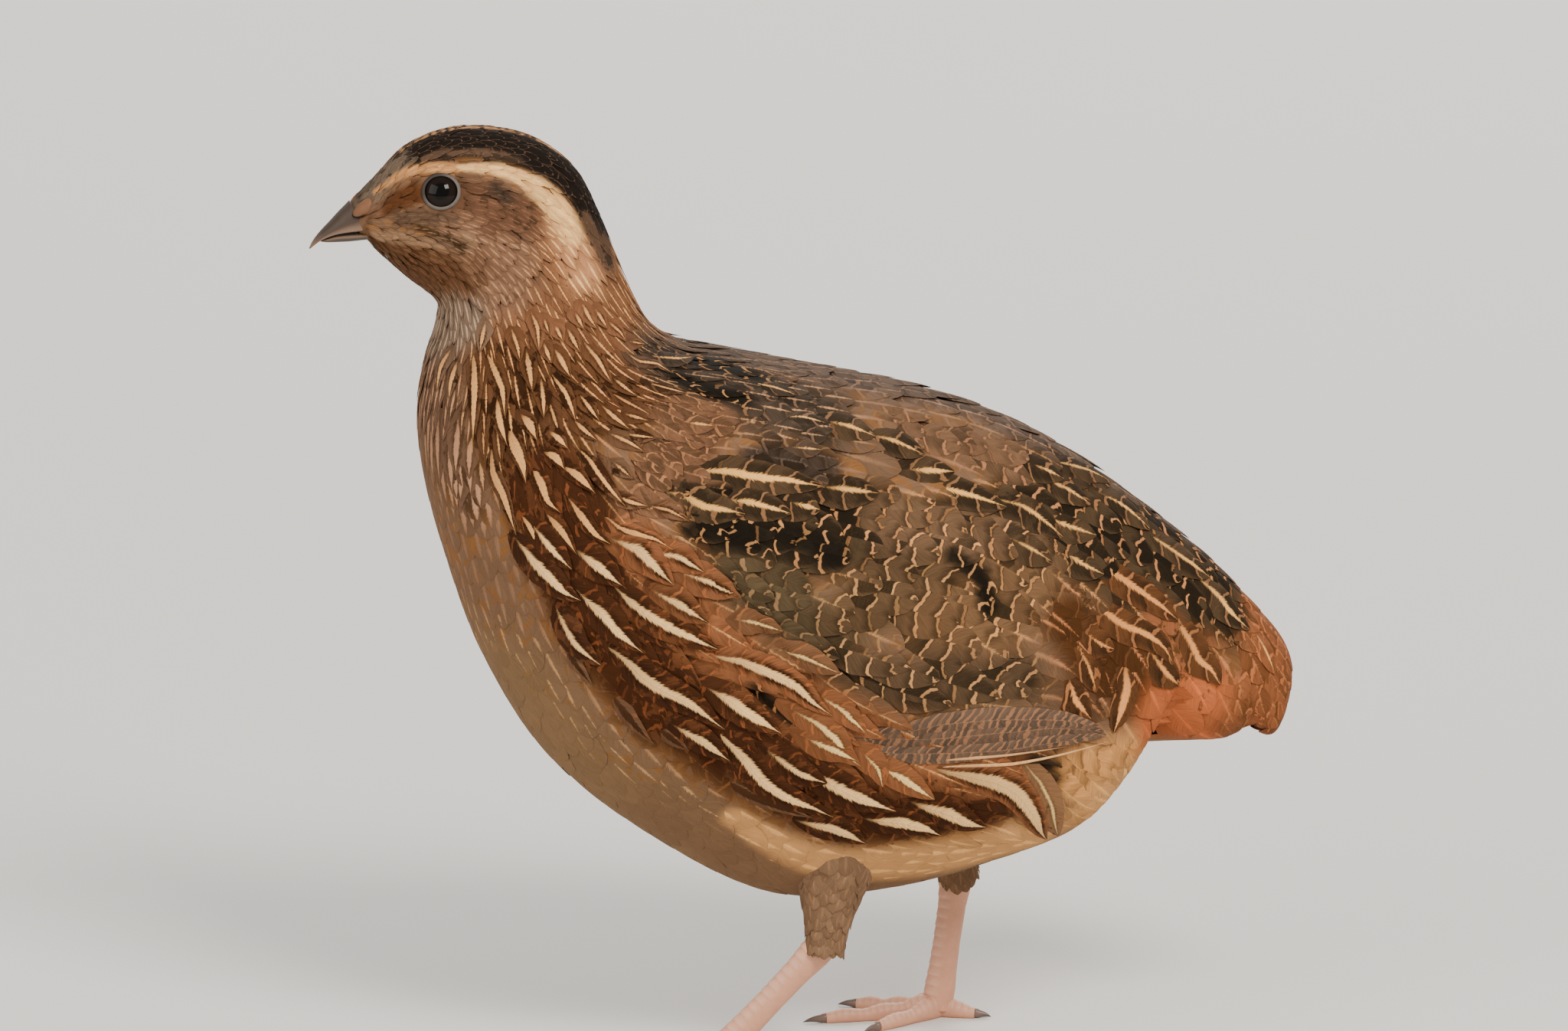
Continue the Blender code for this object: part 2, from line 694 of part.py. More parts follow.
def make_thigh(side_name):
    """A feathered leg from under the belly to the ankle, its top shaped to the belly."""
    high, wide, narrow = THIGHS[side_name]
    ankle, _, shank, thigh_up = leg_line(side_name)
    low = ankle - thigh_up * LEG_SPARE
    steps = np.linspace(0, 1, 8)
    path = [np.array(high) + (low - high) * t for t in steps]
    halves = [(narrow + (wide - narrow) * (1 - t) ** 1.5,) * 2 for t in steps]
    thigh = tube("thigh_" + side_name, path, halves, "plumage", sides=16, up=(1.0, 0.0, 0.0))
    split = shank + thigh_up
    split /= np.linalg.norm(split)
    trim_behind(thigh, (ankle + split * GAP / 2) * MM, -split)
    stations = np.arange(LEGS_FROM, TAIL_BASE + STEP, STEP)
    return carved(thigh, [body_loft("belly", STATIONS, stations, "plumage", GAP)])


def foot_heading(side_name):
    """The way the foot points, and the way its outer side lies."""
    turn = FOOT_TURN[side_name]
    ahead = np.array([-math.cos(turn), -math.sin(turn)])
    outward = np.array([0.0, -1.0 if side_name == "left" else 1.0])
    outward = outward - ahead * outward.dot(ahead)
    return ahead, outward / np.linalg.norm(outward)


def make_shank(side_name):
    """The bare lower leg, a little swollen at the ankle and at the foot, cut flat at both ends."""
    ankle, foot, shank_up, thigh_up = leg_line(side_name)
    steps = np.linspace(-0.12, 1.12, 11)
    path = [ankle + (foot - ankle) * t for t in steps]
    swell = np.interp(steps, SHANK_SHARES, SHANK_SWELL)
    halves = [(SHANK_HALF[1] * k, SHANK_HALF[0] * k) for k in swell]
    shank = tube("shank_" + side_name, path, halves, "leg_skin", sides=14, up=(1.0, 0.0, 0.0))
    split = shank_up + thigh_up
    split /= np.linalg.norm(split)
    trim_behind(shank, (ankle - split * GAP / 2) * MM, split)
    trim_behind(shank, (foot + np.array([0.0, 0.0, GAP])) * MM, np.array([0.0, 0.0, -1.0]))
    return shank


def toe_path(side_name, toe):
    """Points along a toe's middle line on the floor, and its half-sizes."""
    ahead, outward = foot_heading(side_name)
    turn, length, knuckles = TOES[toe]
    heading = ahead * math.cos(turn) + outward * math.sin(turn)
    start = np.array(FEET[side_name])
    steps = np.linspace(0, 1, 3 * knuckles + 2)
    path, halves = [], []
    for t in steps:
        flat = start + heading * length * t
        bump = 1.0 + 0.09 * math.cos(2 * math.pi * (knuckles * t + 0.5))
        size = TOE_RADIUS * (1.06 - 0.3 * t) * bump
        high = 2 * size + ROOT_RISE * (1 - t) ** 3
        path.append((flat[0], flat[1], FLOOR + high / 2 - TOE_PRESS))
        halves.append((size, high / 2))
    return np.array(path), halves, heading


def make_foot(side_name):
    """Four toes round the foot of the leg, flat underneath, and a claw past each toe's end."""
    _, foot, shank_up, _ = leg_line(side_name)
    path = [foot + shank_up * rise for rise in (*FOOT_RISES, LEG_SPARE)]
    last = SHANK_SWELL[-1]
    halves = [*FOOT_HALVES, (SHANK_HALF[1] * last, SHANK_HALF[0] * last)]
    base = tube("foot_" + side_name, path, halves, "leg_skin", 14, FLOOR, (1.0, 0.0, 0.0))
    trim_behind(base, foot * MM, np.array([0.0, 0.0, 1.0]))
    toes = []
    for toe in TOES:
        line, sizes, heading = toe_path(side_name, toe)
        toes.append(tube("toe_" + toe, line, sizes, "leg_skin", 8, FLOOR))
        make_claw(f"claw_{toe}_{side_name}", line[-1], sizes[-1][0], heading, CLAW_LENGTH[toe])
    return joined("foot_" + side_name, base, toes)


def make_claw(name, tip, size, heading, length):
    """A claw that curves down to the floor, just past the toe's end."""
    steps = np.linspace(0, 1, 6)
    path, halves = [], []
    for t in steps:
        radius = max(0.86 * size * (1 - t) ** 0.8, 0.14)
        flat = tip[:2] + heading * (GAP + length * t)
        height = max(tip[2] + 0.25 * t - (tip[2] - 0.05) * t**2.2, radius + 0.05)
        path.append((flat[0], flat[1], height))
        halves.append((radius * 0.85, radius))
    return tube(name, path, halves, "claw", 8)


def clear_scene():
    """Removes every object from the scene."""
    for obj in list(bpy.data.objects):
        bpy.data.objects.remove(obj)


def centre_length():
    """Moves the finished bird along X, so that the origin is under the middle of its length."""
    move = Matrix.Translation((-MIDDLE_X * MM, 0.0, 0.0))
    for obj in bpy.data.objects:
        obj.data.transform(move)


def main():
    """Builds every part of the bird."""
    clear_scene()
    stations = np.arange(0, TAIL_BASE + STEP, STEP)
    whole = body_loft("whole", STATIONS, stations, "plumage")
    make_head(whole)
    part_between(whole, "neck", HEAD_NECK_CUT, NECK_TORSO_CUT, "plumage")
    part_between(whole, "torso", NECK_TORSO_CUT, None, "plumage")
    bpy.data.objects.remove(whole)
    make_eyes()
    make_bill()
    make_wing("wing_left", -1)
    make_wing("wing_right", 1)
    make_tail()
    for side_name in ("left", "right"):
        make_thigh(side_name)
        make_shank(side_name)
        make_foot(side_name)
    centre_length()


main()
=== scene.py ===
"""Dresses a life-size coturnix quail in skin, feathers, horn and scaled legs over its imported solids.

Forms are worked out in millimetres in the bird's own frame: it faces -X, its left side is at -Y and
it stands on Z = 0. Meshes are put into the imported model's frame in metres.
"""

import logging
import math
from dataclasses import astuple, dataclass, field
from enum import Enum
from functools import reduce

import bpy
import numpy as np
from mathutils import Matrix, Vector
from mathutils.kdtree import KDTree

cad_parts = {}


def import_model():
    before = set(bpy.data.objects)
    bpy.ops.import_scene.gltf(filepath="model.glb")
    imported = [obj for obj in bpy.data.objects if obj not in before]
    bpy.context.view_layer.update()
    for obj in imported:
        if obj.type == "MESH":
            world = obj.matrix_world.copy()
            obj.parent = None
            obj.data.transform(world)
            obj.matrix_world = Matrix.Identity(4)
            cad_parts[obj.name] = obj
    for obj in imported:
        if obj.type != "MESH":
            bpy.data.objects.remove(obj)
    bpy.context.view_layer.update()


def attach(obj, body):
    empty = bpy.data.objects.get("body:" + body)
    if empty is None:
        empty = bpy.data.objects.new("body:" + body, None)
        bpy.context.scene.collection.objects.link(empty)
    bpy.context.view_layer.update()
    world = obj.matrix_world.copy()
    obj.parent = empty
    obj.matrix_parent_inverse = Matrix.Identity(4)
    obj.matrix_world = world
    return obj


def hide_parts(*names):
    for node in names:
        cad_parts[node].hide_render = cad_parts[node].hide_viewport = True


MM = 0.001
CENTRING = np.array([1.74, 0.0, 0.0])  # from the bird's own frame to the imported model's, in mm
LAMP_LEVEL = 1.45
# How much of each of the view's red, green and blue makes a base colour's red, green and blue.
VIEW_TO_BASE = np.array([(0.946, 0.108, -0.054), (-0.028, 1.207, -0.179), (-0.010, -0.040, 1.050)])
BAR_AXIS = (906.0, 0.0, -423.0)  # along the folded wing's slope, in mm for each metre
GOLDEN_ANGLE = 2.399963  # from one thigh feather's root to the next, in radians
# Columns of the plume numbers: four colours, then seven amounts in the order of Plume's fields.
GROUND, MARK, STREAK, BAR = slice(0, 3), slice(3, 6), slice(6, 9), slice(9, 12)
STREAK_WIDTH, STREAK_START, BORDER, BLOTCH, BARS, BAR_PITCH, FRINGE = range(12, 19)
LOG = logging.getLogger("quail")
Array = np.ndarray
Colour = tuple[float, float, float]
Socket = bpy.types.NodeSocket
Value = Socket | float | tuple[float, ...]


class Side(Enum):
    """The bird's two sides, by the sign of Y."""

    LEFT = -1
    RIGHT = 1

    @property
    def label(self) -> str:
        """The side's name as pieces carry it."""
        return self.name.lower()


def smoothstep(value: Array, low: float, high: float) -> Array:
    """Rises smoothly from 0 at low to 1 at high."""
    share = np.clip((value - low) / (high - low), 0.0, 1.0)
    return share * share * (3.0 - 2.0 * share)


def unit(vectors: Array) -> Array:
    """The vectors at length 1."""
    return vectors / np.maximum(np.linalg.norm(vectors, axis=-1, keepdims=True), 1e-9)


def turns(count: int) -> Array:
    """Angles spread evenly round a full turn, in radians."""
    return 2 * np.pi * np.arange(count) / count


def table_field(rows: tuple) -> Array:
    """A dataclass field that starts as a table of numbers."""
    return field(default_factory=lambda: np.array(rows, float))


def base_colour(shown: Array) -> Array:
    """Base colours of surfaces that show as given, from 0 to 255, under the studio's lamps.

    The view's soft tone curve is undone as a sum of two powers, its loss of colour by a mixing
    table, and the lamps' level by a division.

    Args:
        shown: Colours with a last axis of red, green and blue.

    Returns:
        Linear colours.
    """
    share = np.asarray(shown, float) / 255.0
    level = 0.352 * share**1.281 + 2.665 * share**5.477
    return np.clip(level @ VIEW_TO_BASE.T / LAMP_LEVEL, 0.0015, 0.85)


def hermite(table: Array, at: Array) -> Array:
    """Reads a table's rows as one smooth curve: cubic between rows, straight past its ends.

    Args:
        table: Rows of numbers.
        at: Fractional row numbers.

    Returns:
        An array with a last axis of the table's columns.
    """
    at = np.asarray(at, float)
    last = len(table) - 1
    slopes = np.gradient(table, axis=0)
    inside = np.clip(at, 0.0, last)
    first = np.clip(np.floor(inside).astype(int), 0, last - 1)
    t = (inside - first)[..., None]
    curve = (
        table[first] * (2 * t**3 - 3 * t**2 + 1)
        + slopes[first] * (t**3 - 2 * t**2 + t)
        + table[first + 1] * (3 * t**2 - 2 * t**3)
        + slopes[first + 1] * (t**3 - t**2)
    )
    past = (at - inside)[..., None]
    return curve + past * np.where(past > 0, slopes[last], slopes[0])


class Surface:
    """A form given as points over two parameters p and q, in millimetres."""

    def point(self, p: Array, q: Array) -> Array:
        """The form's points."""
        raise NotImplementedError

    def frame(self, p: Array, q: Array) -> tuple[Array, Array, Array, Array]:
        """Points with the form's two slopes and its outward direction, by small differences.

        Args:
            p: First parameter.
            q: Second parameter.

        Returns:
            Points, change by p, change by q, and unit normals.
        """
        small = 0.01
        along = (self.point(p + small, q) - self.point(p - small, q)) / (2 * small)
        across = (self.point(p, q + small) - self.point(p, q - small)) / (2 * small)
        return self.point(p, q), along, across, unit(np.cross(along, across))

    def raised(self, p: Array, q: Array, height: Array) -> Array:
        """Points at a height over the form."""
        at, _, _, normal = self.frame(p, q)
        return at + normal * np.asarray(height, float)[..., None]


def solve_step(along: Array, across: Array, move: Array) -> tuple[Array, Array]:
    """How far p and q go for a small move in the form's tangent plane.

    The move is the nearest sum of the two slopes, from their 2 by 2 table of dot products.

    Args:
        along: Change of the point by p.
        across: Change of the point by q.
        move: The wanted move, in millimetres.

    Returns:
        The steps in p and in q.
    """
    aa = (along * along).sum(-1)
    ab = (along * across).sum(-1)
    bb = (across * across).sum(-1)
    ma = (move * along).sum(-1)
    mb = (move * across).sum(-1)
    det = np.maximum(aa * bb - ab * ab, 1e-3)
    return (ma * bb - mb * ab) / det, (mb * aa - ma * ab) / det


# Slices of the body: x and z of the back line, x and z of the belly line, half-width.
BODY_SLICES = (
    (-81.3, 153.3, -78.6, 147.1, 3.3), (-76.9, 157.4, -75.0, 143.9, 6.2), (-71.0, 163.2, -71.3, 140.5, 8.4),
    (-63.8, 166.1, -67.9, 137.8, 9.5), (-55.9, 166.2, -66.0, 136.0, 10.4),
    (-48.0, 163.8, -65.3, 134.3, 11.0), (-41.4, 158.4, -65.6, 132.0, 11.6),
    (-37.2, 150.2, -66.2, 129.3, 12.8), (-33.4, 140.5, -67.2, 126.3, 14.8),
    (-28.9, 131.1, -68.3, 121.4, 18.0), (-22.6, 126.5, -68.9, 114.9, 22.0),
    (-14.1, 124.6, -68.0, 105.0, 26.0), (-4.0, 122.2, -64.6, 91.4, 29.5), (6.7, 119.9, -57.9, 72.4, 31.8),
    (17.5, 117.5, -46.5, 54.0, 32.8), (28.3, 113.9, -28.3, 39.0, 32.6), (39.0, 108.8, -8.1, 28.6, 31.0),
    (49.8, 101.6, 12.1, 28.6, 28.0), (59.2, 94.4, 31.0, 32.8, 23.8), (66.0, 88.6, 44.0, 37.3, 19.8),
    (70.4, 84.6, 50.3, 43.2, 16.8), (74.2, 80.6, 53.4, 51.8, 14.2), (77.6, 76.8, 71.5, 53.0, 11.6),
    (80.9, 72.8, 75.6, 54.9, 9.8), (83.2, 68.9, 78.3, 53.9, 8.6), (84.4, 64.6, 80.7, 53.3, 6.6),
    (84.4, 60.0, 82.6, 55.6, 1.4),
)
# The folded wing's lower and upper outline in side view, as x and z.
WING_LOWER = (
    (-27, 108), (-22, 95), (-10, 80), (2, 68.5), (14, 60.5), (31, 58.5), (49, 60.5),
)
WING_UPPER = (
    (-27, 112), (-15, 117), (0, 117.5), (18, 112.5), (33, 101.5), (43.5, 85.5), (49, 69.5),
)


@dataclass
class Body(Surface):
    """Head, neck, trunk and tail as flat slices: p counts slices from the bill, q turns from the back.

    A slice's point is its middle plus cos(q) of the way to the back line, and its half-width times
    sin(q), made a little fuller than an ellipse and widest below the middle. The folded wing swells
    each side by a dome over its outline in side view.
    """

    slices: Array = table_field(BODY_SLICES)
    fullness: float = 0.9
    low_slung: float = -0.08
    wing_lower: Array = table_field(WING_LOWER)
    wing_upper: Array = table_field(WING_UPPER)
    wing_swell: float = 3.3

    def wing_place(self, x: Array, z: Array) -> tuple[Array, Array]:
        """Shares along the folded wing's length and up its height, in side view.

        Args:
            x: Places fore and aft.
            z: Heights.

        Returns:
            Two shares, 0 to 1 over the wing and beyond that off it.
        """
        low = np.interp(x, self.wing_lower[:, 0], self.wing_lower[:, 1])
        high = np.interp(x, self.wing_upper[:, 0], self.wing_upper[:, 1])
        first, last = self.wing_lower[0, 0], self.wing_lower[-1, 0]
        return (x - first) / (last - first), (z - low) / (high - low)

    def point(self, p: Array, q: Array) -> Array:
        """Points of the slices, swollen over the wing.

        Args:
            p: Slice numbers.
            q: Turns from the back, in radians.

        Returns:
            Points in millimetres.
        """
        row = hermite(self.slices, p)
        back, belly = row[..., 0:2], row[..., 2:4]
        up, across = np.cos(q), np.sin(q)
        flat = (back + belly) / 2 + (back - belly) / 2 * up[..., None]
        wide = np.abs(across) ** self.fullness * (1 + self.low_slung * up)
        a, b = self.wing_place(flat[..., 0], flat[..., 1])
        a, b = np.clip(a, 0, 1), np.clip(b, 0, 1)
        dome = np.sqrt(np.clip(np.sin(np.pi * a**0.8) * np.sin(np.pi * b), 0, 1))
        y = np.sign(across) * (np.maximum(row[..., 4], 0.5) * wide + self.wing_swell * dome)
        return np.stack([flat[..., 0], y, flat[..., 1]], axis=-1)


@dataclass
class Thigh(Surface):
    """The feathered leg: p runs from hip to ankle, q turns round it. Its radius falls as a power."""

    hip: tuple[float, float, float]
    ankle: tuple[float, float, float]
    wide: float
    narrow: float

    def point(self, p: Array, q: Array) -> Array:
        """Points round the leg's straight middle line.

        Args:
            p: Shares of the way from hip to ankle.
            q: Turns round the leg, in radians.

        Returns:
            Points in millimetres.
        """
        start, end = np.array(self.hip), np.array(self.ankle)
        heading = unit(end - start)
        first = unit(np.cross(heading, (1.0, 0.0, 0.0)))
        second = np.cross(first, heading)
        radius = self.narrow + (self.wide - self.narrow) * np.clip(1 - p, 0, 1) ** 1.5
        ring = first * np.cos(q)[..., None] + second * np.sin(q)[..., None]
        return start + (end - start) * np.asarray(p)[..., None] + ring * radius[..., None]


@dataclass(frozen=True)
class Plume:
    """How one kind of feather is coloured.

    Colours are given as they show under the studio's lamps, 0 to 255; widths are shares of half
    the vane, and the bars' pitch is in centimetres.
    """

    ground: Colour
    mark: Colour
    streak: Colour = (206, 174, 138)
    bar: Colour = (178, 144, 104)
    streak_width: float = 0.0
    streak_start: float = 0.25
    border: float = 0.0
    blotch: float = 0.0
    bars: float = 0.0
    bar_pitch: float = 0.4
    fringe: float = 0.0

    def numbers(self) -> Array:
        """All values in one row: four colours, then the seven amounts."""
        values = astuple(self)
        return np.concatenate([base_colour(np.array(values[:4])).ravel(), values[4:]])


class Kind(Enum):
    """The kinds of feather by their place on the bird."""

    CHEEK = Plume((138, 99, 72), (104, 67, 45), (176, 141, 111), streak_width=0.22, blotch=0.3)
    EAR = Plume((112, 68, 45), (74, 42, 27), (150, 106, 78), streak_width=0.12, blotch=0.3)
    LORES = Plume((100, 47, 24), (74, 32, 15), (128, 74, 46), blotch=0.25)
    NOSTRIL = Plume((128, 86, 58), (96, 60, 38), (150, 108, 80), streak_width=0.2)
    CROWN = Plume((56, 41, 32), (20, 14, 11), (138, 104, 80), fringe=0.5, blotch=0.66)
    FORECROWN = Plume((122, 100, 82), (66, 50, 40), (160, 138, 116), fringe=0.5, blotch=0.35)
    CROWN_EDGE = Plume((104, 70, 50), (56, 38, 28), (146, 106, 82), fringe=0.4, blotch=0.4)
    BROW = Plume((206, 174, 136), (172, 134, 98), (220, 192, 156), streak_width=0.2, blotch=0.15)
    BROW_FRONT = Plume((182, 142, 98), (134, 98, 66), (198, 162, 122), streak_width=0.2, blotch=0.15)
    EAR_SPOT = Plume((66, 42, 30), (46, 30, 21), (118, 90, 70), streak_width=0.12, blotch=0.3)
    LID_BAND = Plume((106, 71, 50), (78, 49, 34), (136, 102, 80), streak_width=0.15, blotch=0.3)
    MALAR = Plume((104, 70, 48), (62, 36, 20), (150, 116, 90), streak_width=0.15, blotch=0.5)
    GAPE = Plume((148, 115, 86), (116, 80, 54), (168, 136, 108), streak_width=0.2, blotch=0.1)
    THROAT = Plume((104, 58, 34), (70, 33, 16), (134, 90, 62), streak_width=0.14, blotch=0.35)
    NAPE_PALE = Plume((182, 142, 108), (124, 86, 58), (218, 184, 148), streak_width=0.26, blotch=0.2)
    NECK = Plume(
        (140, 90, 56), (92, 50, 27), (208, 172, 132),
        streak_width=0.13, streak_start=0.05, border=0.1, blotch=0.2,
    )
    NECK_LOW = Plume(
        (106, 56, 30), (50, 23, 11), (206, 164, 122),
        streak_width=0.13, streak_start=0.05, border=0.14, blotch=0.38,
    )
    COLLAR = Plume(
        (134, 108, 88), (100, 73, 55), (176, 158, 141),
        streak_width=0.25, streak_start=0.05, border=0.1, blotch=0.2,
    )
    FORENECK = Plume(
        (124, 86, 62), (84, 49, 30), (184, 150, 124),
        streak_width=0.26, streak_start=0.02, border=0.25, blotch=0.35,
    )
    BREAST = Plume(
        (132, 97, 70), (142, 94, 50), (152, 116, 88),
        streak_width=0.15, streak_start=0.05, blotch=0.4,
    )
    STREAKED = Plume(
        (108, 58, 32), (46, 19, 8), (202, 166, 124),
        streak_width=0.14, border=0.25, blotch=0.42,
    )
    WEBS = Plume((106, 49, 25), (42, 16, 7), (150, 104, 66), (176, 114, 64), 0.0, 0.25, 0.0, 0.55, 0.3)
    WEBS_UPPER = Plume(
        (148, 93, 54), (40, 23, 13), (200, 164, 124), (184, 124, 74),
        0.07, 0.3, 0.0, 0.2, 0.5,
    )
    FLANK = Plume((106, 50, 26), (46, 18, 8), (210, 184, 150), border=0.28, blotch=0.35)
    FLANK_UPPER = Plume((154, 94, 54), (96, 50, 25), (216, 190, 154), border=0.1, blotch=0.15)
    FLANK_MARKS = Plume((136, 102, 75), (110, 72, 48), (60, 28, 14), border=0.05)
    BELLY = Plume((139, 107, 74), (142, 100, 54), blotch=0.3)
    BELLY_LOW = Plume((135, 100, 70), (140, 99, 58), blotch=0.2)
    BELLY_REAR = Plume((186, 150, 108), (152, 111, 70), (206, 172, 130), streak_width=0.15, blotch=0.12)
    VENT = Plume((194, 154, 106), (116, 72, 38), (216, 182, 134), (120, 76, 42), 0.0, 0.3, 0.0, 0.2, 0.6)
    MANTLE = Plume((88, 64, 49), (34, 24, 17), (198, 166, 134), (152, 118, 92), 0.06, 0.25, 0.0, 0.5, 0.7)
    SHOULDER = Plume((136, 92, 62), (78, 46, 28), (176, 136, 102), (176, 132, 94), 0.05, 0.3, 0.0, 0.42, 0.8)
    BACK = Plume((116, 88, 70), (44, 31, 24), (170, 138, 112), (150, 116, 90), 0.05, 0.3, 0.0, 0.4, 0.7)
    PURPLE = Plume((70, 49, 38), (34, 20, 12), (120, 96, 80), (112, 84, 68), 0.06, 0.3, 0.0, 0.4, 0.9)
    TAN = Plume((132, 93, 64), (80, 51, 33), (178, 136, 102), (174, 130, 94), 0.0, 0.3, 0.0, 0.38, 0.85)
    SCAPULAR = Plume((78, 52, 33), (26, 17, 10), (206, 168, 124), (184, 140, 96), 0.0, 0.3, 0.0, 0.6, 1.0)
    SCAPULAR_PALE = Plume(
        (124, 88, 60), (46, 31, 20), (206, 168, 124), (196, 154, 108),
        0.0, 0.3, 0.0, 0.25, 1.0,
    )
    COVERT = Plume((106, 71, 45), (44, 27, 15), (190, 154, 112), (182, 146, 104), 0.0, 0.3, 0.0, 0.14, 1.0)
    OLIVE = Plume((92, 67, 43), (52, 35, 21), (176, 144, 104), (156, 124, 88), 0.0, 0.3, 0.0, 0.12, 0.9)
    COVERT_LOW = Plume((96, 64, 42), (42, 27, 16), (184, 150, 110), (184, 147, 106), 0.0, 0.3, 0.0, 0.2, 1.0)
    COVERT_BUFF = Plume(
        (126, 87, 55), (50, 32, 18), (196, 158, 114), (192, 152, 108),
        0.0, 0.3, 0.0, 0.18, 1.0,
    )
    CHESTNUT = Plume((86, 39, 17), (42, 20, 9), (192, 144, 104), (146, 92, 55), 0.05, 0.3, 0.0, 0.25, 0.35)
    ORANGE = Plume((150, 92, 54), (104, 56, 27), (186, 138, 94), streak_width=0.05, blotch=0.3)
    LOBE = Plume((176, 108, 59), (138, 72, 36), (200, 130, 76), streak_width=0.06, blotch=0.25)
    TAIL = Plume((152, 92, 52), (92, 46, 20), (190, 144, 100), (190, 132, 86), 0.03, 0.2, 0.0, 0.3, 0.7)
    PRIMARY = Plume(
        (122, 94, 75), (86, 64, 51), (176, 138, 106), (170, 130, 97),
        0.0, 0.1, 0.0, 0.35, 0.8, 0.14,
    )
    EDGE = Plume((196, 164, 132), (160, 124, 92))
    THIGH = Plume((138, 105, 77), (112, 82, 58), (160, 126, 96), streak_width=0.12, blotch=0.15)
    SCAPULAR_STREAK = Plume(
        (96, 64, 41), (28, 18, 11), (218, 178, 130), (160, 120, 82),
        blotch=0.55, bars=0.75,
    )
    BLACK = Plume((24, 17, 11), (16, 11, 7), (206, 168, 124), (184, 146, 102), 0.0, 0.3, 0.0, 0.6, 0.8)
    # Painted shade: a dark band for the shade in the crease just below the folded wing's rear edge, where
    # the flank ends.
    GAP = Plume((54, 33, 21), (34, 20, 12), blotch=0.3)
    CERE = Plume((107, 86, 68), (74, 56, 42), (128, 106, 88), blotch=0.3)
    RUMP_STREAK = Plume((116, 62, 32), (40, 22, 12), (208, 164, 116), (176, 126, 80), blotch=0.4, bars=0.8)


@dataclass(frozen=True)
class Marking:
    """A band of one kind of feather along a path over the body's side.

    Attributes:
        kind: The kind of feather.
        path: Places as slice number and degrees from the back.
        reach: Half-width of the band in millimetres, the same or one for each place.
        soft: Over how much of the half-width it fades.
    """

    kind: Kind
    path: tuple[tuple[float, float], ...]
    reach: float | tuple[float, ...]
    soft: float = 0.3


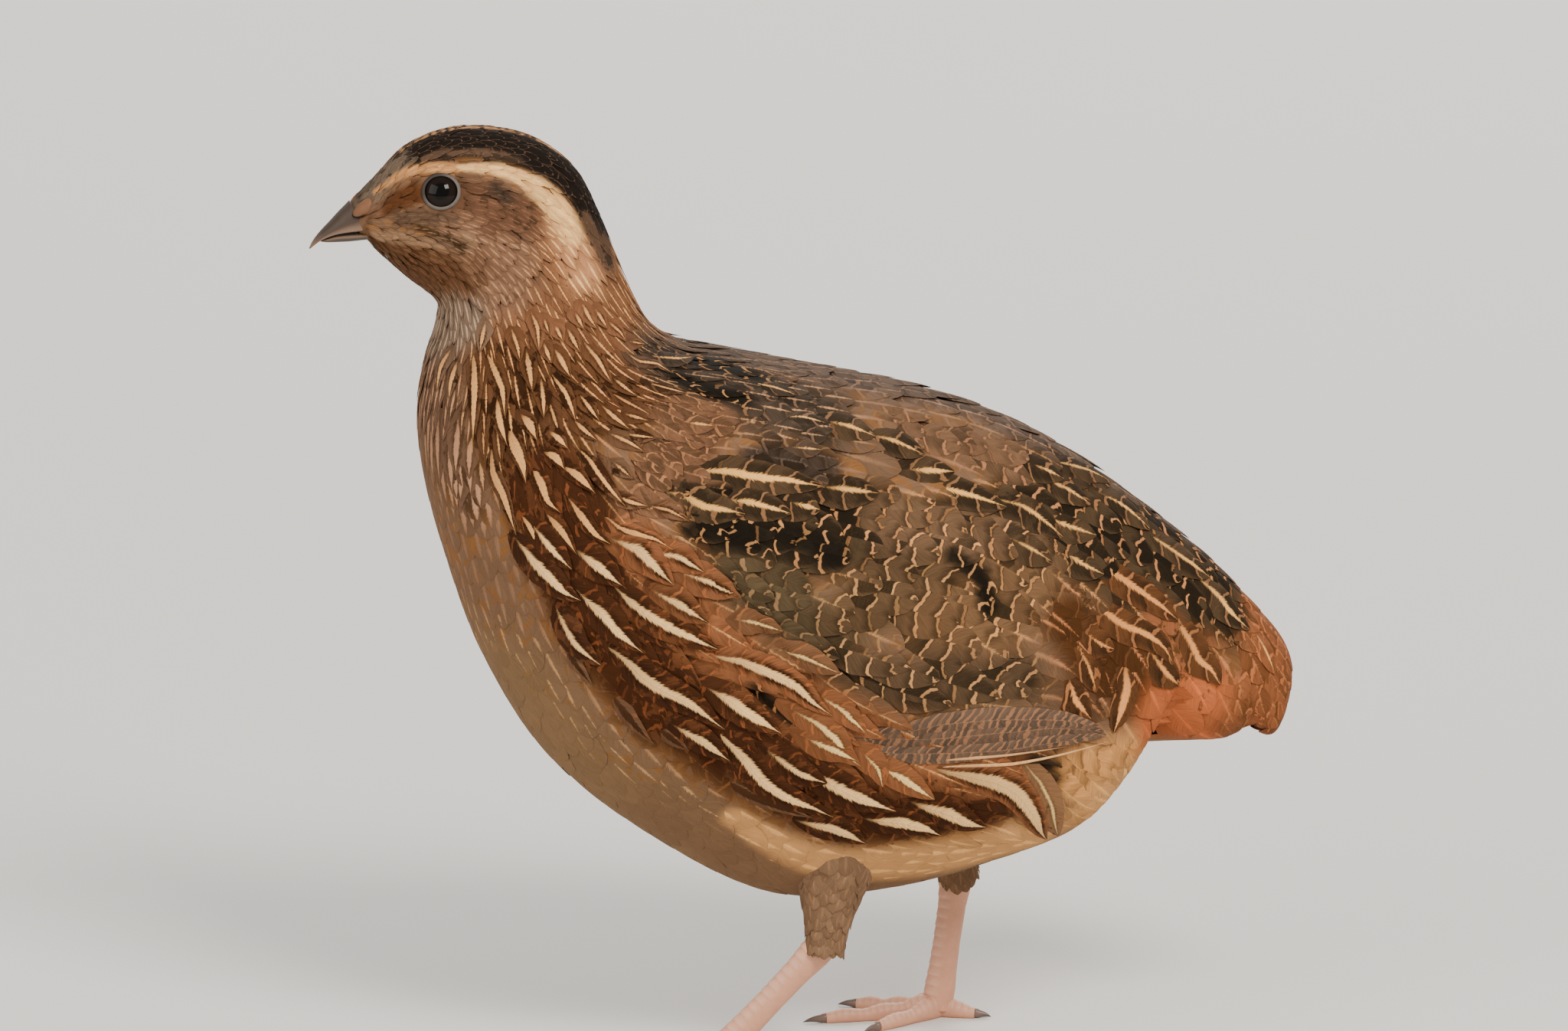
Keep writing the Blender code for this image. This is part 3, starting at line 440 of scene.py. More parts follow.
MARKINGS = (
    Marking(Kind.FORENECK, ((7.4, 168), (8.6, 162), (10.0, 152), (11.2, 144)), (7, 9, 9, 5), 0.7),
    Marking(Kind.NECK, ((6.7, 60), (7.6, 80), (8.6, 85), (9.2, 70), (9.0, 45)), (8, 12, 12, 10, 9), 0.4),
    Marking(Kind.NECK, ((7.2, 0), (8.2, 10), (9.3, 15)), (8, 9, 8), 0.5),
    Marking(Kind.NECK_LOW, ((8.6, 112), (9.5, 90), (10.0, 72), (10.4, 58)), (7, 9, 9, 6), 0.5),
    Marking(Kind.BELLY, ((13.4, 165), (15.0, 168), (18.0, 160)), (16, 20, 16), 0.5),
    Marking(Kind.BELLY_LOW, ((15.0, 150), (17.0, 150)), 9.0, 0.6),
    Marking(Kind.STREAKED, ((9.8, 116), (10.8, 112), (11.6, 108)), (7, 9, 9), 0.4),
    Marking(
        Kind.WEBS, ((11.4, 114), (12.4, 113), (13.6, 114), (15.2, 114), (17.2, 116)),
        (8, 11, 12, 12, 9), 0.3,
    ),
    Marking(Kind.WEBS_UPPER, ((12.4, 97), (14.0, 99), (16.0, 102), (17.5, 106)), (4.5, 6.5, 6.5, 5), 0.5),
    Marking(
        Kind.BELLY_REAR, ((15.2, 136), (16.2, 139), (17.2, 140), (18.2, 141)),
        (2.5, 4.5, 6.0, 6.5), 0.5,
    ),
    Marking(Kind.BACK, ((10.8, 0), (16.0, 0), (22.0, 0)), (9, 11, 10), 0.4),
    Marking(Kind.MANTLE, ((9.8, 30), (11.2, 32), (12.6, 34)), (7, 10, 9), 0.5),
    Marking(Kind.SCAPULAR, ((12.8, 78), (13.8, 66), (14.8, 56), (16.0, 44)), (6, 9, 7, 8), 0.4),
    Marking(Kind.SCAPULAR, ((16.0, 30), (17.3, 34), (18.6, 38), (21.0, 38)), (8, 13, 13, 9), 0.4),
    Marking(Kind.SCAPULAR_PALE, ((14.5, 56), (15.4, 50), (16.2, 46)), (4.5, 6, 5), 0.5),
    Marking(Kind.TAN, ((13.9, 27), (15.0, 27), (15.9, 25)), (3.5, 5.5, 4), 0.5),
    Marking(Kind.SHOULDER, ((11.4, 58), (11.9, 76), (12.0, 88)), (7, 7, 5), 0.4),
    Marking(Kind.PURPLE, ((12.4, 58), (12.8, 54), (13.3, 49)), (2.5, 4.0, 3.5), 0.5),
    Marking(Kind.OLIVE, ((13.6, 85), (14.2, 84), (14.8, 84)), (5.5, 6, 5), 0.5),
    Marking(Kind.COVERT, ((14.8, 75), (15.4, 66)), (7, 6), 0.5),
    Marking(Kind.COVERT_BUFF, ((15.7, 73), (16.3, 64), (16.6, 56)), (6, 7, 5), 0.5),
    Marking(Kind.COVERT_LOW, ((15.0, 89), (15.8, 86), (16.8, 80)), (4, 5.5, 5.5), 0.5),
    Marking(Kind.CHESTNUT, ((17.2, 63), (17.8, 72), (18.8, 78), (20.2, 74)), (6, 8, 8, 7), 0.5),
    Marking(Kind.VENT, ((18.3, 112), (19.2, 120), (19.8, 140)), (5.5, 9, 10), 0.4),
    Marking(Kind.BELLY_REAR, ((19.2, 132), (19.9, 128)), (4.5, 3.5), 0.6),
    # Painted shade in the crease where the flank ends below the wing.
    Marking(Kind.GAP, ((17.55, 104), (17.9, 108), (18.1, 116)), (1.8, 1.8, 1.2), 0.6),
    Marking(Kind.ORANGE, ((18.6, 55), (19.6, 70), (20.4, 84), (21.2, 80)), (4, 5, 5, 6), 0.6),
    Marking(Kind.LOBE, ((20.6, 104), (21.2, 110), (22.2, 125)), (7, 8, 9), 0.4),
    Marking(Kind.TAIL, ((22.6, 0), (23.5, 60), (24.0, 110), (24.6, 150)), (7, 9, 9, 9), 0.3),
    Marking(Kind.TAIL, ((25.0, 0), (26.0, 90), (25.0, 180)), 7.0, 0.3),
    Marking(Kind.CHEEK, ((4.0, 95), (5.4, 95), (6.2, 105)), (6, 7.5, 6), 0.5),
    Marking(Kind.EAR, ((3.3, 70), (4.8, 74), (5.6, 68)), (3.0, 4.2, 3.6), 0.5),
    Marking(Kind.BLACK, ((12.7, 84), (13.0, 78), (13.3, 75)), 2.8, 0.5),
    Marking(Kind.BLACK, ((13.5, 70), (13.85, 68), (14.15, 68)), 2.6, 0.5),
    Marking(Kind.BLACK, ((12.3, 78), (12.6, 72), (12.9, 67)), 1.6, 0.5),
    Marking(Kind.BLACK, ((15.4, 57), (15.85, 59), (16.1, 65)), 1.8, 0.5),
    Marking(Kind.BLACK, ((10.0, 20), (10.8, 18), (11.5, 20)), 2.6, 0.6),
    Marking(Kind.BLACK, ((10.4, 40), (10.9, 41), (11.5, 38)), 2.4, 0.6),
    Marking(Kind.BLACK, ((12.95, 100), (13.45, 98)), 1.1, 0.9),
    Marking(Kind.BLACK, ((14.5, 104), (15.0, 106)), 1.1, 0.9),
    Marking(Kind.NAPE_PALE, ((6.4, 48), (7.4, 50)), (4.0, 4.5), 0.6),
    Marking(Kind.THROAT, ((0.6, 150), (2.0, 140), (3.4, 140), (4.8, 145)), (4, 6.5, 7.5, 5.5), 0.4),
    Marking(Kind.COLLAR, ((6.6, 170), (6.3, 148), (6.5, 132)), (5.0, 5.0, 4.0), 0.5),
    Marking(Kind.GAPE, ((0.6, 107), (1.8, 106), (3.0, 106), (4.0, 100)), (0.9, 1.1, 1.2, 1.6), 0.6),
    Marking(Kind.LORES, ((1.0, 68), (1.6, 66), (2.1, 66)), (1.0, 2.0, 2.3), 0.4),
    Marking(Kind.NOSTRIL, ((0.25, 60), (0.8, 66)), 1.6, 0.5),
    Marking(Kind.LID_BAND, ((1.6, 84), (2.4, 88), (3.4, 88)), (1.2, 1.4, 1.0), 0.6),
    Marking(Kind.MALAR, ((2.3, 96), (3.1, 101), (3.9, 104)), (0.8, 1.1, 1.4), 0.8),
    Marking(Kind.EAR_SPOT, ((4.35, 63), (4.75, 67)), (1.3, 1.3), 0.7),
    Marking(
        Kind.CROWN, ((1.8, 20), (3.0, 22), (4.6, 22), (6.0, 20), (7.0, 15)),
        (3.0, 4.7, 5.6, 6.2, 4.6), 0.25,
    ),
    Marking(Kind.CROWN_EDGE, ((2.4, 36), (3.3, 39), (4.0, 38), (4.7, 38)), (0.7, 0.8, 0.8, 0.7), 0.6),
    Marking(Kind.FORECROWN, ((0.3, 12), (1.0, 20), (1.7, 24)), (2.6, 3.2, 3.0), 0.5),
    Marking(Kind.CERE, ((0.2, 8), (0.9, 8)), (1.6, 1.2), 0.5),
    Marking(Kind.BROW_FRONT, ((1.0, 34), (1.7, 40), (2.3, 46), (3.2, 52)), (0.5, 0.8, 1.0, 0.9), 0.5),
    Marking(
        Kind.BROW,
        ((3.3, 51.5), (3.9, 51), (4.5, 50), (5.3, 50), (6.0, 50.5), (6.7, 49)),
        (0.5, 0.9, 1.2, 1.8, 2.4, 2.0),
        0.45,
    ),
    Marking(Kind.CROWN_EDGE, ((6.7, 32), (7.1, 30), (7.6, 26)), (1.2, 2.2, 3.2), 0.6),
    Marking(Kind.BROW_FRONT, ((1.9, 3), (3.5, 4), (5.0, 4), (5.8, 3)), (0.4, 0.55, 0.55, 0.3), 0.5),
)


# Places in side view as x and z, the feathers' slope below level in degrees, and their spacing.
LIE = (
    (-80, 153, -40, 0.85), (-75, 159, -48, 0.95), (-69, 164, -25, 1.05), (-60, 166.5, -2, 1.15),
    (-50, 164.5, 14, 1.25), (-43, 159.5, 38, 1.35), (-38, 151, 60, 1.6), (-77, 150.5, 5, 0.8),
    (-72, 153, -8, 0.85), (-66, 161, -8, 0.95), (-59, 156, 12, 1.0), (-54, 152, 28, 1.05),
    (-64, 149, 20, 0.95), (-58, 144, 42, 1.15), (-76, 144.5, 25, 0.85), (-70, 140, 42, 1.0),
    (-64, 136, 60, 1.25), (-47, 152, 42, 1.3), (-43, 142, 62, 1.7), (-52, 136, 70, 1.7),
    (-64, 127, 85, 1.8), (-34, 142, 60, 1.9), (-42, 128, 64, 2.2), (-53, 122, 76, 2.3), (-65, 117, 88, 2.4),
    (-28, 132, 45, 2.4), (-33, 120, 45, 2.6), (-66, 100, 84, 2.9), (-52, 108, 70, 2.9), (-42, 106, 48, 3.0),
    (-60, 85, 76, 3.1), (-45, 95, 52, 3.2), (-29, 98, 32, 3.3), (-50, 68, 62, 3.3), (-36, 82, 42, 3.7),
    (-21, 84, 31, 3.9), (-38, 52, 52, 3.4), (-20, 64, 42, 4.0), (-5, 72, 30, 4.2), (-18, 38, 30, 3.4),
    (2, 50, 34, 4.3), (12, 60, 30, 4.3), (5, 30, 10, 3.4), (25, 50, 32, 4.2), (25, 29, 5, 3.4),
    (38, 46, 50, 4.0), (50, 52, 50, 3.8), (58, 44, 40, 3.6), (-15, 124, 12, 3.2), (-14, 115, 14, 3.4),
    (5, 120, 11, 4.4), (5, 110, 12, 4.8), (25, 113.5, 18, 4.8), (40, 107, 27, 4.8), (55, 97, 38, 4.6),
    (66, 88, 46, 4.3), (75, 79, 55, 3.8), (81, 68, 64, 3.6), (-18, 105, 20, 3.8), (-5, 98, 14, 4.8),
    (12, 98, 16, 5.4), (0, 85, 20, 5.2), (17, 82, 20, 5.6), (28, 97, 24, 5.6), (32, 80, 28, 5.6),
    (14, 68, 18, 5.0), (32, 66, 15, 5.0), (42, 86, 42, 5.4), (50, 76, 52, 5.0), (62, 72, 60, 4.6),
    (72, 62, 64, 3.7),
)


@dataclass
class Coat:
    """The lie of the coat: where feathers point, how close they stand and how they are coloured.

    Attributes:
        lie: Places in side view as x and z, with the feathers' slope below level in degrees and
            the space between feathers, all in millimetres.
        markings: The bands of kinds, later ones over earlier ones.
        ground: The kind under all of them.
        blur: Added to squared distances, so that no place counts for everything.
        path_steps: Points on each stretch of a marking's path.
    """

    body: Body
    lie: Array = table_field(LIE)
    markings: tuple[Marking, ...] = MARKINGS
    ground: Kind = Kind.BREAST
    blur: float = 4.0
    path_steps: int = 8

    def at(self, points: Array) -> tuple[Array, Array]:
        """Headings and spacing at points, each an average weighted by the fourth power of nearness.

        Args:
            points: Places in millimetres, with a last axis of three.

        Returns:
            Unit headings, and the space between feathers.
        """
        flat = points.reshape(-1, 3)[:, (0, 2)]
        gap = ((flat[:, None, :] - self.lie[None, :, 0:2]) ** 2).sum(-1) + self.blur
        weight = 1.0 / gap**2
        weight /= weight.sum(1, keepdims=True)
        slope = np.radians(self.lie[:, 2])
        ahead = weight @ np.cos(slope)
        down = weight @ np.sin(slope)
        heading = unit(np.stack([ahead, np.zeros_like(ahead), -down], axis=-1))
        spacing = weight @ self.lie[:, 3]
        return heading.reshape(points.shape), spacing.reshape(points.shape[:-1])

    def lance(self, p: Array, q: Array) -> Array:
        """How far feathers are lances: 1 on neck, breast and flanks, 0 on head, back and wing.

        Args:
            p: Slice numbers.
            q: Turns from the back, in radians.

        Returns:
            A share for each place.
        """
        turn = np.abs(np.degrees(np.mod(q + np.pi, 2 * np.pi) - np.pi))
        wide = np.maximum(smoothstep(turn, 80, 98), 1 - smoothstep(p, 10.2, 11.2))
        under = smoothstep(turn, 117, 130) * smoothstep(p, 9.6, 11.0)
        return smoothstep(p, 6.0, 7.0) * (1 - smoothstep(p, 17.5, 19.0)) * wide * (1 - under)

    def stretch(self, p: Array, q: Array) -> Array:
        """How many times further apart feathers stand along their lie than across it."""
        return 1.15 + 0.65 * (1 - smoothstep(p, 5.5, 6.8)) + 0.95 * self.lance(p, q)

    def paint(self, points: Array, stray: Array) -> Array:
        """The plume numbers at points: each marking covers what lies under it near its path.

        Args:
            points: Places in millimetres.
            stray: A share for each point by which its distances are stretched, for uneven edges.

        Returns:
            One row of plume numbers for each point.
        """
        flat = points.reshape(-1, 3).copy()
        flat[:, 1] = np.abs(flat[:, 1])
        stray = np.broadcast_to(stray, points.shape[:-1]).reshape(-1)
        made = np.tile(self.ground.value.numbers(), (len(flat), 1))
        for marking in self.markings:
            path = np.array(marking.path)
            at = np.linspace(0, len(path) - 1, 1 + self.path_steps * (len(path) - 1))
            rows = np.arange(len(path))
            p, q = (np.interp(at, rows, path[:, k]) for k in (0, 1))
            reach = np.interp(at, rows, np.broadcast_to(marking.reach, rows.shape))
            line = self.body.point(p, np.radians(q))
            near = np.full(len(flat), 9.0)
            for place, wide in zip(line, reach, strict=True):
                near = np.minimum(near, np.sqrt(((flat - place) ** 2).sum(1)) / wide)
            share = 1 - smoothstep(near * (1 + stray), 1 - marking.soft, 1 + marking.soft)
            made += (marking.kind.value.numbers() - made) * share[:, None]
        return made.reshape(*points.shape[:-1], -1)


def mesh_object(name: str, points: Array, faces: list[Array], body: str = "root") -> bpy.types.Object:
    """An object from points in millimetres and faces given as index arrays.

    Args:
        name: The object's name.
        points: Points with a last axis of three.
        faces: Arrays of faces, each with as many columns as its faces have corners.
        body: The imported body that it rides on.

    Returns:
        The new object, riding on its body.
    """
    flat = (points.reshape(-1, 3) + CENTRING) * MM
    corners = np.concatenate([block.ravel() for block in faces]).astype(np.int32)
    sizes = np.concatenate([np.full(len(block), block.shape[1]) for block in faces])
    starts = np.concatenate([[0], np.cumsum(sizes)[:-1]]).astype(np.int32)
    mesh = bpy.data.meshes.new(name)
    mesh.vertices.add(len(flat))
    mesh.vertices.foreach_set("co", flat.astype(np.float32).ravel())
    mesh.loops.add(len(corners))
    mesh.loops.foreach_set("vertex_index", corners)
    mesh.polygons.add(len(starts))
    mesh.polygons.foreach_set("loop_start", starts)
    mesh.update(calc_edges=True)
    mesh.shade_smooth()
    obj = bpy.data.objects.new(name, mesh)
    bpy.context.scene.collection.objects.link(obj)
    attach(obj, body)
    return obj


def loft_faces(rings: int, sides: int) -> list[Array]:
    """Faces of a tube of closed rings whose two end points follow the rings' points.

    Args:
        rings: How many rings.
        sides: How many points in each.

    Returns:
        Four-sided faces along the tube, and the triangles of its two ends.
    """
    r, k = np.meshgrid(np.arange(rings - 1), np.arange(sides), indexing="ij")
    after = (k + 1) % sides
    a, b = (r * sides + k).ravel(), (r * sides + after).ravel()
    quads = np.stack([a, a + sides, b + sides, b], axis=1)
    k, after = k[0], after[0]
    count, last = rings * sides, (rings - 1) * sides
    first_cap = np.stack([np.full_like(k, count), k, after], axis=1)
    last_cap = np.stack([np.full_like(k, count + 1), last + after, last + k], axis=1)
    return [quads, first_cap, last_cap]


def closed_loft(name: str, points: Array) -> bpy.types.Object:
    """An object from rings of points, closed at both ends by their middles."""
    ends = points[[0, -1]].mean(axis=1)
    return mesh_object(name, np.concatenate([points.reshape(-1, 3), ends]), loft_faces(*points.shape[:2]))


def ring_values(values: Array) -> Array:
    """Values of a loft's rings with its two end points' added, as grey colours."""
    flat = np.concatenate([values.ravel(), values[[0, -1]].mean(axis=1)])
    return np.repeat(flat[:, None], 4, axis=1)


def tube(path: Array, wide: Array, high: Array, up: Colour, relief: Array) -> Array:
    """Rings round a path: its half-sizes across and towards up, raised outwards by a relief.

    Args:
        path: Points of the middle line.
        wide: Half-size across at each.
        high: Half-size towards up at each.
        up: The direction that the rings' tops turn to.
        relief: Added height at each ring and side.

    Returns:
        Points as rings by sides by three.
    """
    heading = unit(np.gradient(path, axis=0))
    across = unit(np.cross(heading, up))
    top = np.cross(across, heading)
    turn = turns(relief.shape[1])
    x = (wide[:, None] + relief) * np.cos(turn)
    z = (high[:, None] + relief) * np.sin(turn)
    return path[:, None] + across[:, None] * x[..., None] + top[:, None] * z[..., None]


def add_colour(mesh: bpy.types.Mesh, name: str, rgba: Array) -> None:
    """Stores four numbers at each vertex."""
    layer = mesh.attributes.new(name, "FLOAT_COLOR", "POINT")
    layer.data.foreach_set("color", rgba.astype(np.float32).ravel())


def add_map(mesh: bpy.types.Mesh, name: str, uv: Array) -> None:
    """Stores a UV map, one pair for each face corner."""
    layer = mesh.uv_layers.new(name=name)
    layer.data.foreach_set("uv", uv.astype(np.float32).ravel())


def dress(
    obj: bpy.types.Object, finish: bpy.types.Material, slot: str, blend: Array | None, *nodes: str
) -> None:
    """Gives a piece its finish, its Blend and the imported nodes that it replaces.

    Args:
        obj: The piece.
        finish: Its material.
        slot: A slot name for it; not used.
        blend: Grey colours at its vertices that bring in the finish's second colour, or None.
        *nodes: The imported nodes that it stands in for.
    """
    if blend is not None:
        add_colour(obj.data, "Blend", blend)
    obj.data.materials.append(finish)
    if nodes:
        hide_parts(*nodes)
    LOG.info("%s: %d faces", obj.name, len(obj.data.polygons))


def add_plume_numbers(mesh: bpy.types.Mesh, numbers: Array, seed: Array, size: Array) -> None:
    """Stores plume numbers, a seed and the vane's size at each vertex.

    Args:
        mesh: The mesh.
        numbers: A row of plume numbers for each vertex.
        seed: The feather's seed at each vertex.
        size: The feather's length and half-width there.
    """
    seed = seed.reshape(-1, 1)
    add_colour(mesh, "Ground", np.hstack([numbers[:, GROUND], seed]))
    for name, colour, number in (
        ("Mark", MARK, BLOTCH), ("Streak", STREAK, STREAK_WIDTH), ("Bar", BAR, BARS),
    ):
        add_colour(mesh, name, np.hstack([numbers[:, colour], numbers[:, [number]]]))
    add_colour(mesh, "Detail", numbers[:, [BAR_PITCH, FRINGE, STREAK_START, BORDER]])
    layer = mesh.attributes.new("Size", "FLOAT_VECTOR", "POINT")
    layer.data.foreach_set("vector", size.astype(np.float32).ravel())


@dataclass
class Plumes:
    """Many feathers on one surface, as arrays with one row for each.

    Attributes:
        p: First parameter along each middle line.
        q: Second parameter along each middle line.
        length: Lengths in millimetres.
        half: Half-widths.
        taper: 0 for a round end to 1 for a lance.
        rise: Heights of root and tip over the surface.
        seed: A number from 0 to 1 for each feather.
        numbers: Plume numbers, or None to paint each vertex by its place.
    """

    p: Array
    q: Array
    length: Array
    half: Array
    taper: Array
    rise: Array
    seed: Array
    numbers: Array | None = None

    def pick(self, keep: Array) -> "Plumes":
        """Only the feathers named by a mask or by numbers.

        Args:
            keep: The mask or the numbers.

        Returns:
            The feathers that are left.
        """
        numbers = None if self.numbers is None else self.numbers[keep]
        parts = (self.p, self.q, self.length, self.half, self.taper, self.rise, self.seed)
        return Plumes(*(part[keep] for part in parts), numbers)


@dataclass
class Vane:
    """The build of a feather's vane: a thin closed plate, arched over its shaft.

    Its upper face is a grid of rows by columns that follows the surface, its lower face one strip
    from edge to edge, and its edges are a little ragged, as barbs part there. Rows crowd towards
    the tip by a power, and a middle line's step over the surface has a most in p and in q.
    """

    rows: int = 12
    columns: int = 9
    arch: float = 0.13
    ragged: float = 0.07
    roll: float = 0.05
    crowding: float = 1.35
    most_p: float = 1.5
    most_q: float = 0.6

    def steps(self) -> Array:
        """Shares of the length at each row, closer together towards the tip."""
        return 1 - (1 - np.linspace(0, 1, self.rows)) ** self.crowding

    def outline(self, taper: Array) -> Array:
        """Half-width at each row as a share of the widest.

        It opens from a third at the root, and past its widest place falls as a power of the share
        left: as a half-circle where taper is 0, nearly straight where it is 1.

        Args:
            taper: One number for each feather.

        Returns:
            An array of feathers by rows.
        """
        t = self.steps()[None, :]
        taper = taper[:, None]
        widest = 0.62 - 0.22 * taper
        opening = 0.35 + 0.65 * np.sin(0.5 * np.pi * np.clip(t / widest, 0, 1))
        over = np.clip((t - widest) / (1 - widest), 0, 1)
        closing = np.clip(1 - over ** (2.2 - 0.8 * taper), 0, 1) ** (0.5 + 0.5 * taper)
        return np.maximum(opening * closing, 0.05)

    def lay(self, surface: Surface, coat: Coat, p: Array, q: Array, length: Array, turn: Array) -> tuple:
        """Runs middle lines from roots along the lie of the coat, one short step for each row.

        Args:
            surface: The form they lie on.
            coat: The lie of the coat.
            p: First parameter of each root.
            q: Second parameter of each root.
            length: Lengths in millimetres.
            turn: How far each feather strays from the lie, in radians.

        Returns:
            Parameters p and q along each line.
        """
        lines_p, lines_q = [p], [q]
        for stride in np.diff(self.steps()):
            at, along, across, normal = surface.frame(p, q)
            heading, _ = coat.at(at)
            heading = unit(heading - normal * (heading * normal).sum(-1, keepdims=True))
            beside = np.cross(normal, heading)
            heading = heading * np.cos(turn)[:, None] + beside * np.sin(turn)[:, None]
            step_p, step_q = solve_step(along, across, heading * (length * stride)[:, None])
            p = p + np.clip(step_p, -self.most_p, self.most_p)
            q = q + np.clip(step_q, -self.most_q, self.most_q)
            lines_p.append(p)
            lines_q.append(q)
        return np.stack(lines_p, 1), np.stack(lines_q, 1)

    def points(self, surface: Surface, plumes: Plumes, rng: np.random.Generator) -> tuple[Array, Array]:
        """Vertices of every vane, and the same places on the bare surface.

        Args:
            surface: The form they lie on.
            plumes: The feathers.
            rng: Draws the ragged edges and the roll.

        Returns:
            Vertices, and surface points, each as feathers by rows by columns by three.
        """
        count = len(plumes.length)
        t = self.steps()
        u = np.linspace(-1, 1, self.columns)
        at, along, across, normal = surface.frame(plumes.p, plumes.q)
        heading = np.gradient(at, axis=1)
        beside = unit(np.cross(normal, heading))
        wide = self.outline(plumes.taper) * plumes.half[:, None]
        notch = 1 + self.ragged * rng.uniform(-1, 1, (count, self.rows, 2))
        side = np.where(u[None, None, :] < 0, notch[..., :1], notch[..., 1:])
        edge = np.abs(u) ** 3
        reach = wide[..., None] * u * (1 + (side - 1) * edge)
        move = beside[:, :, None, :] * reach[..., None]
        step_p, step_q = solve_step(along[:, :, None, :], across[:, :, None, :], move)
        p = plumes.p[..., None] + step_p
        q = plumes.q[..., None] + step_q
        low, high = plumes.rise[:, 0, None, None], plumes.rise[:, 1, None, None]
        lift = low + (high - low) * t[None, :, None] ** 0.8
        roll = self.roll * rng.uniform(-1, 1, count)[:, None, None]
        arch = self.arch * wide[..., None] * (1 - u**2)
        height = lift + arch + roll * reach + 0.03
        base, _, _, out = surface.frame(p, q)
        return base + out * height[..., None], base

    def faces(self, count: int) -> list[Array]:
        """Faces of all vanes: upper grid, lower strip and two end caps, all turned outwards.

        Args:
            count: How many vanes.

        Returns:
            Four-sided faces, and the end caps with a corner a column.
        """
        rows, columns = self.rows, self.columns
        r, c = np.meshgrid(np.arange(rows - 1), np.arange(columns - 1), indexing="ij")
        a = (r * columns + c).ravel()
        upper = np.stack([a, a + columns, a + columns + 1, a + 1], axis=1)
        b = np.arange(rows - 1) * columns
        lower = np.stack([b, b + columns - 1, b + 2 * columns - 1, b + columns], axis=1)
        root = np.arange(columns)[None, :]
        tip = ((rows - 1) * columns + np.arange(columns)[::-1])[None, :]
        quads = np.concatenate([upper, lower])
        caps = np.concatenate([root, tip])
        start = (np.arange(count) * rows * columns)[:, None, None]
        return [(quads + start).reshape(-1, 4), (caps + start).reshape(-1, columns)]

    def corner_maps(self, place: Array, size: Array) -> tuple[Array, Array]:
        """The vane map and the bake map at each face corner, in the order of the faces.

        The vane map is -1 to 1 across and 0 to 1 along. In the bake map each feather has its own
        square, at its root's place: the upper face fills most of it, the lower face a strip beside.

        Args:
            place: Middles of the squares.
            size: Widths of the squares.

        Returns:
            Two arrays of pairs.
        """
        count = len(place)
        t, u = np.meshgrid(self.steps(), np.linspace(-1, 1, self.columns), indexing="ij")
        vane = np.stack([u.ravel(), t.ravel()], axis=1)
        quads, caps = self.faces(1)
        upper_count = (self.rows - 1) * (self.columns - 1)
        order = np.concatenate([quads.ravel(), caps.ravel()])
        vane_corners = vane[order]
        patch = np.stack([vane[:, 0] * 0.40 - 0.06, vane[:, 1] * 0.92 - 0.46], axis=1)[order]
        lower = slice(upper_count * 4, quads.size)
        patch[lower, 0] = 0.42 + vane_corners[lower, 0] * 0.04
        turn = np.tile(np.linspace(0, 2 * np.pi, self.columns, endpoint=False), 2)
        for cap in (0, 1):
            rows = slice(quads.size + cap * self.columns, quads.size + (cap + 1) * self.columns)
            ring = turn[: self.columns]
            patch[rows, 0] = 0.42 + 0.02 * np.cos(ring)
            patch[rows, 1] = (0.48 if cap else -0.48) + 0.01 * np.sin(ring)
        bake = place[:, None, :] + patch[None, :, :] * size[:, None, None]
        grid, cap = slice(0, quads.size), slice(quads.size, None)
        vane_map = np.concatenate([np.tile(vane_corners[part], (count, 1)) for part in (grid, cap)])
        return vane_map, np.concatenate([bake[:, part].reshape(-1, 2) for part in (grid, cap)])


def own_squares(p: Array, q: Array, least: float = 0.003, most: float = 0.06) -> tuple[Array, Array]:
    """A place and a width on the unwrap for each feather, so that no two squares overlap.

    The unwrap lays p along one side and q along the other. Each square is a little narrower than
    the distance to the nearest other root.

    Args:
        p: First parameter of the roots.
        q: Second parameter of the roots.
        least: Narrowest square.
        most: Widest square.

    Returns:
        Middles and widths.
    """
    both = np.stack([q, p], axis=1)
    low, high = both.min(0), both.max(0)
    place = 0.03 + 0.94 * (both - low) / np.maximum(high - low, 1e-6)
    gap = np.abs(place[:, None, :] - place[None, :, :]).max(-1)
    gap[np.arange(len(place)), np.arange(len(place))] = 1.0
    return place, np.clip(gap.min(1) * 0.96, least, most)


